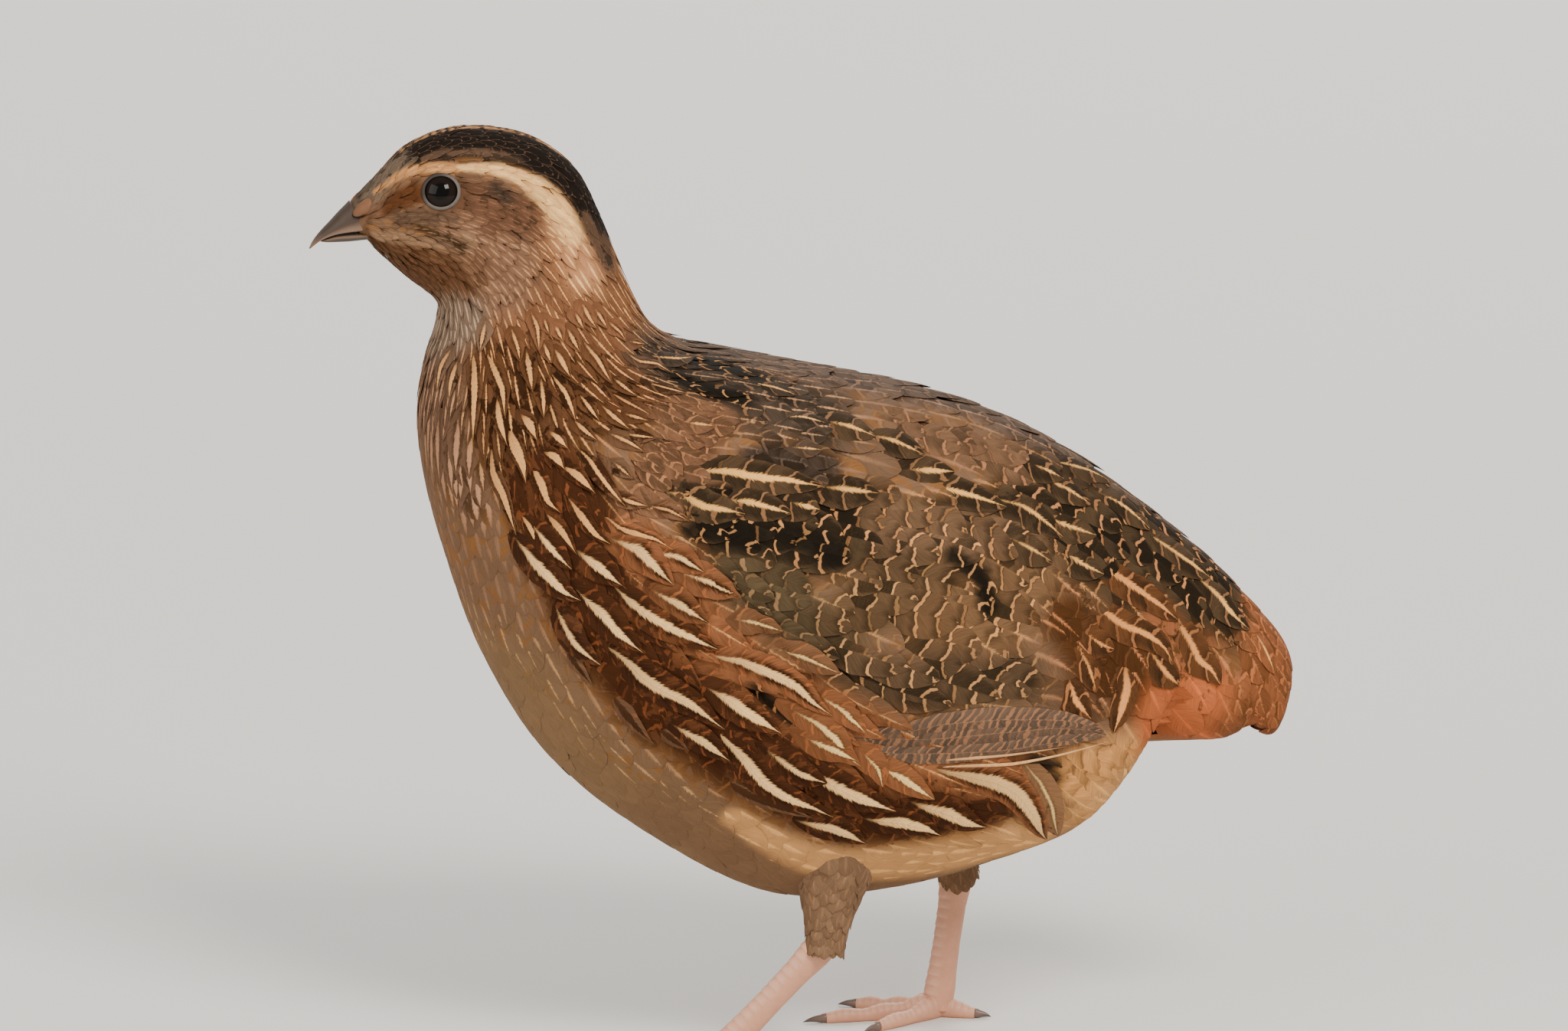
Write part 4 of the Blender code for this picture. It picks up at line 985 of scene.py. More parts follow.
@dataclass
class Plumage:
    """Weaves sets of feathers into pieces over one surface.

    A feather's seed moves the edges of the markings on it by up to half the stray, and its edges
    turn by more than the sharp angle, in degrees, so they aren't smoothed.
    """

    coat: Coat
    surface: Surface
    seed: int = 7
    stray: float = 0.35
    sharp: float = 70.0

    def piece(self, name: str, vane: Vane, plumes: Plumes, finish: bpy.types.Material) -> bpy.types.Object:
        """One object of many vanes.

        Args:
            name: The piece's name.
            vane: How each vane is built.
            plumes: The feathers.
            finish: Its material.

        Returns:
            The object.
        """
        rng = np.random.default_rng(self.seed + len(plumes.length))
        points, base = vane.points(self.surface, plumes, rng)
        obj = mesh_object(name, points, vane.faces(len(plumes.length)))
        stray = (plumes.seed - 0.5) * self.stray
        if plumes.numbers is None:
            numbers = self.coat.paint(base, stray[:, None, None])
        else:
            row = plumes.numbers[:, None, None, :]
            numbers = np.broadcast_to(row, (*base.shape[:-1], row.shape[-1]))
        shape = base.shape[:-1]
        seed = np.broadcast_to(plumes.seed[:, None, None], shape)
        size = np.stack([plumes.length, plumes.half, plumes.length * 0], axis=1)
        size = np.broadcast_to(size[:, None, None, :], (*shape, 3))
        add_plume_numbers(obj.data, numbers.reshape(-1, numbers.shape[-1]), seed, size)
        bake_p, bake_q = plumes.p[:, 0], np.mod(plumes.q[:, 0] + np.pi, 2 * np.pi) - np.pi
        vane_map, bake_map = vane.corner_maps(*own_squares(bake_p, bake_q))
        add_map(obj.data, "OFBake", bake_map)
        add_map(obj.data, "Vane", vane_map)
        obj.data.set_sharp_from_angle(angle=math.radians(self.sharp))
        obj.data.materials.append(finish)
        LOG.info("%s: %d feathers, %d faces", name, len(plumes.length), len(obj.data.polygons))
        return obj


@dataclass
class Scatter:
    """Spreads roots over the body, no two nearer than the coat's spacing there."""

    coat: Coat
    body: Body
    first: float = 0.25
    last: float = 25.6
    tries: int = 150_000
    closeness: float = 0.82
    seed: int = 3

    def roots(self) -> tuple[Array, Array]:
        """Slice numbers and turns of the roots.

        Places are drawn evenly by area over the spacing squared, and each one that is kept takes
        out the later ones within an oval, drawn out along the lie.

        Returns:
            Slice numbers and turns of the roots that are kept.
        """
        rng = np.random.default_rng(self.seed)
        p = rng.uniform(self.first, self.last, self.tries)
        q = rng.uniform(-np.pi, np.pi, self.tries)
        at, along, across, _ = self.body.frame(p, q)
        heading, spacing = self.coat.at(at)
        stretch = self.coat.stretch(p, q)
        area = np.linalg.norm(np.cross(along, across), axis=-1)
        worth = area / spacing**2
        keep = rng.uniform(0, np.quantile(worth, 0.98), self.tries) < worth
        p, q, at, spacing = p[keep], q[keep], at[keep], spacing[keep] * self.closeness
        heading, stretch = heading[keep], stretch[keep]
        tree = KDTree(len(p))
        for number, place in enumerate(at.tolist()):
            tree.insert(place, number)
        tree.balance()
        open_places = np.ones(len(p), bool)
        kept = []
        places = at.tolist()
        for number, reach in enumerate(spacing.tolist()):
            if not open_places[number]:
                continue
            kept.append(number)
            near = np.array([found[1] for found in tree.find_range(places[number], reach * stretch[number])])
            off = at[near] - at[number]
            ahead = off @ heading[number]
            gap = (off**2).sum(1) - ahead**2 * (1 - 1 / stretch[number] ** 2)
            open_places[near[gap < reach**2]] = False
        return p[kept], q[kept]


@dataclass
class BodyFeathers:
    """The small and large feathers that cover the whole body.

    Attributes:
        coat: Their lie and colours.
        body: The form that they cover.
        eye: Slice and degrees from the back of the bare eye.
        eye_clear: How far roots and vanes keep off it, in millimetres.
        neck, trunk, belly, rump, end: Slices at which these stretches start, and the last tips.
        back_edge, wing_edge, flank_edge: Degrees from the back at which these tracts end.
        seed: Starts the random draws.
        small, large, soft: Vanes for head and neck, for back and wings, and for the underside.
    """

    coat: Coat
    body: Body
    eye: tuple[float, float] = (2.85, 69.0)
    eye_clear: float = 3.25
    neck: float = 6.6
    trunk: float = 9.3
    belly: float = 14.0
    rump: float = 21.8
    end: float = 25.9
    back_edge: float = 34.0
    wing_edge: float = 90.0
    flank_edge: float = 122.0
    seed: int = 11
    small: Vane = field(default_factory=lambda: Vane(rows=7, columns=5, arch=0.1, ragged=0.15))
    large: Vane = field(default_factory=lambda: Vane(arch=0.08))
    soft: Vane = field(default_factory=lambda: Vane(arch=0.02, ragged=0.1, roll=0.02))

    def grown(self, vane: Vane, p: Array, q: Array, rng: np.random.Generator) -> Plumes:
        """Feathers from roots: length, width and lift go with the spacing at each root.

        Args:
            vane: How each vane is built.
            p: Slice numbers of the roots.
            q: Turns of the roots.
            rng: Draws what differs from feather to feather.

        Returns:
            The feathers that keep clear of the eye and end before the body does.
        """
        at = self.body.point(p, q)
        _, spacing = self.coat.at(at)
        count = len(p)
        stretch = self.coat.stretch(p, q) ** 0.75
        length = spacing * (2.7 + 0.08 * spacing) * stretch * rng.uniform(0.88, 1.12, count)
        turn = rng.normal(0, 0.06, count)
        lines_p, lines_q = vane.lay(self.body, self.coat, p, q, length, turn)
        low = -np.clip((0.1 if vane is self.soft else 0.26) * spacing, 0.25, 1.2)
        high = np.clip(0.07 * spacing, 0.06, 0.3) * rng.uniform(0.4, 1.6, count) * vane.arch / 0.18
        lance = self.coat.lance(p, q)
        broad = 1.4 if vane is self.soft else 0.82 + 0.18 * smoothstep(p, 5.8, 6.8)
        seed = 0.5 + (rng.uniform(0, 1, count) - 0.5) * (0.4 if vane is self.soft else 1.0)
        half = spacing * broad * rng.uniform(0.72, 0.88, count)
        rise = np.stack([low, high], axis=1)
        plumes = Plumes(lines_p, lines_q, length, half, 0.2 + 0.6 * lance, rise, seed)
        near = self.body.point(lines_p, lines_q)
        near[..., 1] = np.abs(near[..., 1])
        eye = self.body.point(np.array(self.eye[0]), np.array(math.radians(self.eye[1])))
        gap = np.linalg.norm(near - eye, axis=-1).min(1)
        return plumes.pick((gap > self.eye_clear + 0.3 * plumes.half) & (lines_p[:, -1] < self.end))

    def build(self, finishes: dict[str, bpy.types.Material]) -> None:
        """Grows the coat and weaves it into one piece for each tract.

        Args:
            finishes: Materials by the name of the coat's part.
        """
        p, q = Scatter(self.coat, self.body).roots()
        rng = np.random.default_rng(self.seed)
        plumage = Plumage(self.coat, self.body)
        degrees = np.abs(np.degrees(q))
        head, neck = p < self.neck, (p >= self.neck) & (p < self.trunk)
        trunk, tail = (p >= self.trunk) & (p < self.rump), p >= self.rump
        under, on_back = trunk & (degrees > self.flank_edge), trunk & (degrees <= self.back_edge)
        tracts = {
            "head_feathers": (head, self.small, "head"),
            "neck_feathers": (neck, self.small, "body"),
            "breast_feathers": (under & (p < self.belly), self.soft, "soft"),
            "belly_feathers": (under & (p >= self.belly), self.soft, "soft"),
            "back_feathers": (on_back, self.large, "body"),
            "rump_feathers": (tail, self.large, "body"),
        }
        for side in Side:
            beside = trunk & ~under & ~on_back & (np.sign(q) == side.value)
            low = degrees > self.wing_edge
            tracts["flank_feathers_" + side.label] = (beside & low, self.large, "flank")
            tracts["wing_coverts_" + side.label] = (beside & ~low, self.large, "wing")
        for name, (keep, vane, finish) in tracts.items():
            plumes = self.grown(vane, p[keep], q[keep], rng)
            obj = plumage.piece(name, vane, plumes, finishes[finish])
            if name.startswith("wing_coverts_"):
                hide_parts(name.replace("coverts_", ""))
            if name == "rump_feathers":
                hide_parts("tail")


@dataclass(frozen=True)
class Viewpoint:
    """Where the camera stands: angles in degrees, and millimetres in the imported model's frame."""

    azimuth: float = -8.0
    elevation: float = 14.0
    lens: float = 600.0
    distance: float = 4551.0
    target: tuple[float, float, float] = (-3.11, 0.0, 95.1)

    def axes(self) -> tuple[Array, Array, Array]:
        """Directions to the picture's right, to its top and back to the camera.

        Returns:
            Three unit directions.
        """
        turn, rise = math.radians(self.azimuth), math.radians(self.elevation)
        back = np.array([math.sin(turn) * math.cos(rise), -math.cos(turn) * math.cos(rise), math.sin(rise)])
        right = np.array([math.cos(turn), math.sin(turn), 0.0])
        return right, np.cross(back, right), back


@dataclass
class Photograph:
    """Finds the place on the bird's left side that shows at a pixel of the photograph."""

    per_mm: float = 7.5
    middle: tuple[float, float] = (1024.0, 673.0)
    view: Viewpoint = Viewpoint()
    steps: int = 6

    def seen(self, points: Array) -> Array:
        """Pixels at which points show.

        Args:
            points: Points in millimetres.

        Returns:
            Pairs of pixel coordinates.
        """
        right, top, back = self.view.axes()
        off = points + CENTRING - np.array(self.view.target)
        near = self.per_mm * self.view.distance / (self.view.distance - off @ back)
        return np.stack([self.middle[0] + off @ right * near, self.middle[1] - off @ top * near], axis=-1)

    def places(self, body: Body, pixels: Array) -> tuple[Array, Array]:
        """Slice numbers and turns that show at pixels: the nearest of a grid, then Newton's steps.

        Args:
            body: The bird's body.
            pixels: Pairs of pixel coordinates.

        Returns:
            Slice numbers and turns.
        """
        tries_p, tries_q = np.meshgrid(np.arange(0.25, 25, 0.25), -np.radians(np.arange(2, 180, 4)))
        at, _, _, normal = body.frame(tries_p, tries_q)
        facing = normal @ self.view.axes()[2] > 0.05
        tries_p, tries_q, tries = tries_p[facing], tries_q[facing], self.seen(at)[facing]
        nearest = ((pixels[:, None, :] - tries[None, :, :]) ** 2).sum(-1).argmin(1)
        p, q = tries_p[nearest], tries_q[nearest]
        small = 0.02
        for _ in range(self.steps):
            here = self.seen(body.point(p, q))
            by_p = (self.seen(body.point(p + small, q)) - here) / small
            by_q = (self.seen(body.point(p, q + small)) - here) / small
            off = pixels - here
            det = by_p[:, 0] * by_q[:, 1] - by_p[:, 1] * by_q[:, 0]
            det = np.where(np.abs(det) < 1.0, 1.0, det)
            p = p + np.clip((off[:, 0] * by_q[:, 1] - off[:, 1] * by_q[:, 0]) / det, -0.5, 0.5)
            q = q + np.clip((by_p[:, 0] * off[:, 1] - by_p[:, 1] * off[:, 0]) / det, -0.2, 0.2)
        return p, q


# A streak's width, then x and y of each place along its middle, in pixels of the photograph.
Line = tuple[float, ...]


@dataclass(frozen=True)
class Quills:
    """Single feathers of one kind, each with its streak where the photograph shows it.

    Attributes:
        name: The piece's name.
        kind: How they are coloured.
        half: Half-width of the vanes in millimetres.
        root: How far each vane starts ahead of its streak.
        lines: The streaks' widths and middle lines, in pixels of the photograph.
        taper: 0 for round ends to 1 for lances.
        rise: Heights of roots and tips over the body.
        slot: A slot name; not used.
        whole: True where the webs too have the kind's own colours, not those of their place.
    """

    name: str
    kind: Kind
    half: float
    root: float
    lines: tuple[Line, ...]
    taper: float = 0.6
    rise: tuple[float, float] = (-0.9, 0.75)
    slot: str = "plumage"
    whole: bool = False


@dataclass
class QuillFeathers:
    """Places single feathers on the left side and their mirror images on the right."""

    body: Body
    coat: Coat
    sets: tuple[Quills, ...]
    photograph: Photograph = field(default_factory=Photograph)
    vane: Vane = field(default_factory=lambda: Vane(rows=16, columns=9, ragged=0.05))

    def middle_line(self, line: Line, root: float) -> tuple[Array, Array, float, float]:
        """A vane's middle line through the streak's places, drawn out ahead of it by the root.

        Args:
            line: Width and places of the streak.
            root: Length ahead of it.

        Returns:
            Parameters p and q at the vane's rows, its length, and the share where the streak starts.
        """
        p, q = self.photograph.places(self.body, np.array(line[1:], float).reshape(-1, 2))
        at = self.body.point(p, q)
        steps = np.linalg.norm(np.diff(at, axis=0), axis=1)
        first = root / max(steps[0], 0.5)
        p = np.concatenate([[p[0] - (p[1] - p[0]) * first], p])
        q = np.concatenate([[q[0] - (q[1] - q[0]) * first], q])
        run = np.concatenate([[0.0, root], root + np.cumsum(steps)])
        at = self.vane.steps() * run[-1]
        knots = np.stack([p, q], axis=1)
        number = np.interp(at, run, np.arange(len(run)))
        straight = np.stack([np.interp(at, run, p), np.interp(at, run, q)], 1)
        smooth = 0.5 * hermite(knots, number) + 0.5 * straight
        return smooth[:, 0], smooth[:, 1], run[-1], root / run[-1]

    def build(self, finish: bpy.types.Material) -> None:
        """One piece for each set.

        Args:
            finish: The material of all sets.
        """
        for quills in self.sets:
            rng = np.random.default_rng(len(quills.lines))
            made = [self.middle_line(line, quills.root) for line in quills.lines]
            p, q = np.stack([part[0] for part in made]), np.stack([part[1] for part in made])
            length = np.array([part[2] for part in made])
            start = np.array([part[3] for part in made])
            width = np.array([line[0] for line in quills.lines]) / self.photograph.per_mm / 2
            count = len(made)
            own = np.tile(quills.kind.value.numbers(), (count, 1))
            third = self.vane.rows // 3
            webs = self.coat.paint(self.body.point(p[:, third], q[:, third]), 0.0)
            numbers = own if quills.whole else webs
            numbers[:, STREAK] = own[:, STREAK]
            if quills.kind.value.border:
                numbers[:, MARK] = own[:, MARK]
            half = np.maximum(quills.half, width * 1.6) * rng.uniform(0.92, 1.08, count)
            numbers[:, STREAK_WIDTH] = width / half
            numbers[:, STREAK_START] = np.maximum(start - 0.12, 0.0)
            numbers[:, BORDER] = own[:, BORDER]
            seed = rng.uniform(0.2, 0.8, count)
            rise = np.tile(quills.rise, (count, 1)) + rng.uniform(0, 0.15, (count, 1))
            left = (p, q, length, half, np.full(count, quills.taper), rise, seed, numbers)
            both = Plumes(*(np.concatenate([part, part]) for part in left))
            both.q[count:] *= -1
            obj = Plumage(self.coat, self.body).piece(quills.name, self.vane, both, finish)


BREAST_LINES: tuple[Line, ...] = (
    (8, 588, 459, 578, 480, 574, 513), (8, 597, 475, 591, 499, 589, 523),
    (9, 616, 456, 620, 480, 621, 513, 620, 547, 620, 580), (8, 635, 459, 645, 480, 657, 509, 661, 547),
    (9, 650, 523, 654, 551, 664, 582), (14, 664, 560, 673, 582, 683, 606, 688, 630),
    (12, 683, 544, 692, 554, 702, 575), (6, 634, 423, 628, 461), (7, 688, 461, 692, 485, 696, 513),
    (5, 669, 432, 676, 451, 680, 473), (6, 707, 499, 710, 523, 711, 547), (5, 695, 411, 702, 428, 704, 459),
    (5, 711, 418, 717, 437), (6, 711, 451, 720, 475), (6, 726, 428, 735, 447),
    (8, 726, 459, 733, 470, 745, 494), (6, 723, 492, 738, 513, 747, 535, 752, 551),
    (6, 752, 551, 764, 563, 780, 576), (9, 721, 566, 730, 573, 742, 586),
    (12, 714, 592, 726, 597, 738, 613), (10, 738, 611, 754, 620, 778, 644),
    (10, 695, 609, 707, 630, 716, 654, 733, 669), (10, 642, 590, 645, 618, 657, 642, 664, 661, 676, 697),
    (8, 683, 675, 692, 687, 709, 718), (9, 716, 673, 733, 692, 754, 723),
    (9, 745, 654, 759, 673, 778, 697, 800, 711), (6, 754, 585, 769, 599, 783, 620, 800, 642, 819, 663),
    (6, 792, 675, 811, 690, 840, 699, 857, 704, 880, 718), (6, 807, 649, 826, 656, 847, 661),
    (4, 850, 661, 873, 666, 900, 680), (6, 752, 411, 761, 430), (6, 761, 399, 769, 416, 778, 430),
    (6, 778, 406, 792, 430), (6, 764, 449, 780, 470, 800, 504), (6, 742, 432, 757, 461),
    (5, 797, 423, 809, 435, 816, 447), (5, 804, 497, 833, 520), (6, 759, 518, 769, 532, 783, 551),
    (6, 788, 532, 800, 544, 823, 563), (5, 800, 568, 821, 578, 842, 591), (4, 821, 568, 857, 573),
    (5, 821, 463, 835, 473, 857, 477, 878, 490), (4, 823, 447, 840, 451), (4, 850, 501, 873, 509, 897, 516),
    (4, 819, 542, 847, 551), (4, 804, 606, 826, 625),
)
FLANK_LINES: tuple[Line, ...] = (
    (14, 680, 710, 700, 733, 720, 753, 737, 770, 760, 782), (13, 760, 723, 780, 737, 813, 763),
    (13, 807, 707, 833, 717, 850, 733, 880, 763), (8, 860, 723, 887, 727, 920, 747),
    (6, 897, 750, 920, 757, 947, 767, 970, 777), (13, 760, 777, 787, 800, 807, 823, 840, 850),
    (12, 807, 770, 833, 793, 873, 817, 907, 833, 940, 847),
    (12, 933, 857, 967, 863, 1003, 877, 1037, 893, 1063, 917, 1087, 933),
    (15, 797, 847, 820, 863, 840, 883, 867, 900, 903, 917, 947, 950),
    (15, 933, 903, 953, 913, 973, 927, 1000, 943, 1020, 955), (12, 887, 950, 920, 967, 953, 990),
    (14, 933, 953, 970, 987, 1000, 1022, 1031, 1041, 1062, 1052, 1088, 1064),
    (16, 1054, 1006, 1085, 1022, 1115, 1037, 1146, 1048, 1169, 1056),
    (18, 1140, 1070, 1177, 1072, 1208, 1079, 1227, 1087),
    (17, 1200, 1050, 1238, 1060, 1265, 1072, 1287, 1076),
    (14, 1050, 1073, 1085, 1079, 1108, 1087, 1131, 1098), (9, 730, 800, 753, 840, 787, 867),
    (9, 700, 690, 722, 716, 748, 742), (9, 1010, 985, 1045, 1008, 1080, 1020),
    (9, 860, 775, 890, 790, 925, 812),
    (20, 1227, 1006, 1269, 1014, 1304, 1021, 1331, 1037, 1350, 1064, 1365, 1091),
)
FLANK_UPPER_LINES: tuple[Line, ...] = (
    (6, 970, 810, 997, 813, 1023, 822), (5, 1020, 847, 1053, 857, 1097, 877),
    (7, 1080, 914, 1104, 929, 1131, 956), (8, 1046, 933, 1069, 945, 1092, 964, 1104, 983, 1123, 998),
    (9, 1060, 966, 1092, 979, 1119, 991), (5, 1131, 987, 1146, 1002, 1152, 1025),
    (9, 1154, 1004, 1177, 1014, 1200, 1029, 1219, 1041),
    (4, 1342, 1002, 1358, 1021, 1373, 1052, 1381, 1087),
)
SCAPULAR_LINES: tuple[Line, ...] = (
    (10, 906, 614, 950, 616, 998, 625, 1024, 627, 1073, 636), (8, 1083, 637, 1106, 640, 1147, 645),
    (9, 875, 643, 901, 650, 916, 660, 947, 666, 973, 671), (8, 957, 654, 975, 655, 1004, 663, 1032, 671),
    (9, 1039, 658, 1070, 666), (7, 1088, 553, 1106, 558, 1142, 572), (7, 1147, 571, 1168, 578, 1206, 596),
    (9, 1193, 614, 1220, 616, 1245, 617), (7, 1210, 638, 1240, 640, 1273, 650, 1313, 663),
    (6, 1307, 653, 1330, 660, 1353, 673, 1387, 702), (6, 1367, 677, 1393, 687, 1430, 700),
    (6, 1353, 610, 1387, 627), (6, 1367, 627, 1393, 640, 1423, 660),
    (5, 1373, 603, 1400, 610, 1427, 620, 1450, 633), (5, 1443, 648, 1467, 663, 1500, 693),
    (7, 1503, 700, 1530, 720, 1577, 755), (8, 1567, 757, 1593, 783, 1630, 823),
    (6, 1393, 723, 1413, 737, 1440, 750), (4, 1327, 707, 1350, 720, 1373, 735),
)
MANTLE_LINES: tuple[Line, ...] = (
    (4, 1027, 544, 1050, 546, 1078, 554), (4, 901, 553, 934, 558), (4, 1039, 585, 1073, 589),
    (4, 857, 466, 883, 470, 905, 469), (4, 985, 500, 1010, 507, 1040, 518),
    (3, 1640, 827, 1653, 853, 1663, 880),
)
RUMP_LINES: tuple[Line, ...] = (
    (9, 1420, 727, 1447, 743, 1480, 767, 1513, 790, 1537, 810),
    (10, 1530, 803, 1553, 837, 1577, 870, 1593, 893),
    (9, 1410, 783, 1440, 797, 1467, 817, 1493, 827, 1517, 843, 1530, 867),
    (8, 1503, 853, 1517, 873, 1537, 893), (6, 1420, 830, 1433, 840, 1453, 847),
    (4, 1407, 843, 1420, 870, 1430, 903), (8, 1397, 890, 1403, 913, 1423, 937),
    (13, 1470, 870, 1470, 903, 1453, 955),
)
FLANK_MARK_LINES: tuple[Line, ...] = (
    (11, 797, 905, 818, 932, 853, 968), (10, 860, 950, 878, 964, 900, 978),
    (12, 930, 1010, 975, 1036, 1030, 1056, 1060, 1065), (9, 735, 840, 752, 866, 775, 893),
)
PRIMARY_LINES: tuple[Line, ...] = (
    (1, 1120, 978, 1200, 984, 1290, 979, 1370, 967, 1443, 957),
    (1, 1112, 966, 1190, 965, 1290, 957, 1370, 949, 1440, 952),
    (1, 1150, 960, 1230, 945, 1310, 938, 1380, 938, 1434, 947),
)
EDGE_LINES: tuple[Line, ...] = (
    (3, 1215, 1003, 1269, 999, 1323, 996, 1381, 984, 1446, 965),
    (2, 1180, 990, 1250, 990, 1330, 982, 1390, 972),
)
QUILLS = (
    Quills("breast_streaks", Kind.STREAKED, 1.6, 2.5, BREAST_LINES, 0.8, (-0.45, 0.4)),
    Quills("flank_marks", Kind.FLANK_MARKS, 1.7, 3.0, FLANK_MARK_LINES, 0.8, (-0.9, 0.4)),
    Quills("flank_streaks", Kind.FLANK, 3.1, 5.0, FLANK_LINES, 0.6, (-0.6, 0.6)),
    Quills("upper_flank_streaks", Kind.FLANK_UPPER, 2.6, 5.0, FLANK_UPPER_LINES, 0.6, (-0.6, 0.6)),
    Quills(
        "scapular_streaks", Kind.SCAPULAR_STREAK, 3.4, 6.0, SCAPULAR_LINES, 0.45, (-0.9, 0.4),
        "wing_plumage", True,
    ),
    Quills("mantle_streaks", Kind.SCAPULAR_STREAK, 2.2, 4.0, MANTLE_LINES, 0.5, (-0.8, 0.35)),
    Quills("rump_streaks", Kind.RUMP_STREAK, 3.2, 6.0, RUMP_LINES, 0.45, (-0.9, 0.4), "plumage", True),
    Quills("primaries", Kind.PRIMARY, 2.3, 6.0, PRIMARY_LINES, 0.4, (-0.6, 0.5), "wing_plumage", True),
    Quills("primary_edge", Kind.EDGE, 0.3, 3.0, EDGE_LINES, 0.9, (-0.4, 0.75), "wing_plumage", True),
)


@dataclass
class TailFeathers:
    """The short fan of tail feathers that droops over the last slices."""

    body: Body
    coat: Coat
    angles: tuple[float, ...] = (0, 20, -20, 40, -40, 60, -60, 80, -80, 100, -100, 120, -120)
    root: float = 20.6
    tip: float = 24.95
    half: float = 4.6
    taper: float = 0.15
    bar_pitch: float = 0.25
    seed: int = 5

    def build(self, finish: bpy.types.Material) -> None:
        """Feathers along the slices' own lines, the middle ones over the outer ones.

        Args:
            finish: Its material.
        """
        vane = Vane(rows=18, columns=11, arch=0.06, ragged=0.03)
        angle = np.radians(np.array(self.angles[::-1], float))
        count = len(angle)
        outer = np.abs(angle) / np.pi
        p = self.root + (self.tip - 0.5 * outer[:, None] - self.root) * vane.steps()[None, :]
        q = np.repeat(angle[:, None], vane.rows, axis=1)
        at = self.body.point(p, q)
        length = np.linalg.norm(np.diff(at, axis=1), axis=2).sum(1)
        rise = np.stack([np.full(count, -1.0), 0.45 - 0.8 * outer], axis=1)
        numbers = np.tile(Kind.TAIL.value.numbers(), (count, 1))
        numbers[:, BAR_PITCH] = self.bar_pitch
        seed = np.random.default_rng(self.seed).uniform(0.2, 0.8, count)
        half = self.half * (1 - 0.3 * outer)
        plumes = Plumes(p, q, length, half, np.full(count, self.taper), rise, seed, numbers)
        obj = Plumage(self.coat, self.body).piece("tail_feathers", vane, plumes, finish)


@dataclass
class Skin:
    """One skin under the coat, from the bill's base to the tail."""

    coat: Coat
    body: Body
    rings: int = 150
    sides: int = 96

    def build(self, finish: bpy.types.Material) -> None:
        """A closed tube of slices, sunk by the coat's depth, that carries the coat's markings.

        Args:
            finish: Its material.
        """
        p = np.linspace(-0.15, 26.0, self.rings)
        grid_p, grid_q = np.meshgrid(p, turns(self.sides), indexing="ij")
        at, _, _, normal = self.body.frame(grid_p, grid_q)
        _, spacing = self.coat.at(at)
        slim = 0.4 * hermite(self.body.slices, grid_p)[..., 4]
        depth = np.minimum(np.clip(0.44 * spacing, 0.35, 1.6), slim)
        obj = closed_loft("skin", at - normal * depth[..., None])
        count = self.rings * self.sides
        numbers = self.coat.paint(at, 0.0).reshape(count, -1)
        numbers = np.concatenate([numbers, numbers[[0, -1]]])
        add_colour(obj.data, "Ground", np.hstack([numbers[:, GROUND], np.ones((count + 2, 1))]))
        dress(obj, finish, "plumage", None, "head", "neck", "torso")


# Slices of each half of the bill: x and z of its outer line, x and z of its edge, half-width.
UPPER_BILL = (
    (-81.8, 152.9, -79.75, 148.75, 3.1), (-82.9, 151.8, -81.4, 148.6, 2.75),
    (-84.2, 150.4, -83.2, 148.3, 2.25), (-85.5, 149.1, -84.7, 147.8, 1.7),
    (-86.6, 147.9, -86.0, 147.1, 1.15), (-87.4, 146.8, -87.0, 146.3, 0.65),
    (-87.95, 145.7, -87.8, 145.55, 0.15),
)
LOWER_BILL = (
    (-79.05, 147.05, -79.6, 148.4, 2.9), (-81.0, 146.85, -81.3, 148.25, 2.5),
    (-83.1, 146.75, -83.2, 148.0, 1.95), (-84.8, 146.7, -84.8, 147.5, 1.2),
    (-85.9, 146.8, -85.8, 147.0, 0.35),
)


@dataclass
class Bill:
    """The bill's two halves, each lofted from slices of its outer line, its edge and its half-width."""

    upper: Array = table_field(UPPER_BILL)
    lower: Array = table_field(LOWER_BILL)
    sides: int = 40
    root: float = -0.9

    def half(self, name: str, table: Array, turn: int, finish: bpy.types.Material) -> None:
        """One half: its height over the edge line goes with the cosine, its width with the sine.

        Args:
            name: The piece's name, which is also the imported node's.
            table: Its slices.
            turn: 1 or -1, so that the rings run the same way round for both halves.
            finish: Its material.
        """
        row = hermite(table, np.linspace(self.root, len(table) - 1, 56))
        a = turns(self.sides)
        rise, across = np.cos(a), turn * np.sin(a)
        share = np.maximum(rise, 0) ** 0.9 + 0.16 * np.minimum(rise, 0) + 0.16
        share = np.minimum(share / 1.16, 1.0)[None, :, None]
        flat = row[:, None, 2:4] + (row[:, None, 0:2] - row[:, None, 2:4]) * share
        y = row[:, None, 4] * np.sign(across) * np.abs(across) ** 0.75
        obj = closed_loft(name + "_horn", np.stack([flat[..., 0], y, flat[..., 1]], axis=-1))
        edge = 1 - smoothstep(np.broadcast_to(share[..., 0], y.shape), 0.1, 0.5)
        tip = 0.7 * smoothstep(np.linspace(0, 1, len(row)), 0.55, 1.0)[:, None]
        dress(obj, finish, "horn", ring_values(np.maximum(edge, tip)), name)

    def build(self, dark: bpy.types.Material, pale: bpy.types.Material) -> None:
        """Both halves."""
        self.half("bill_upper", self.upper, -1, dark)
        self.half("bill_lower", self.lower, 1, pale)


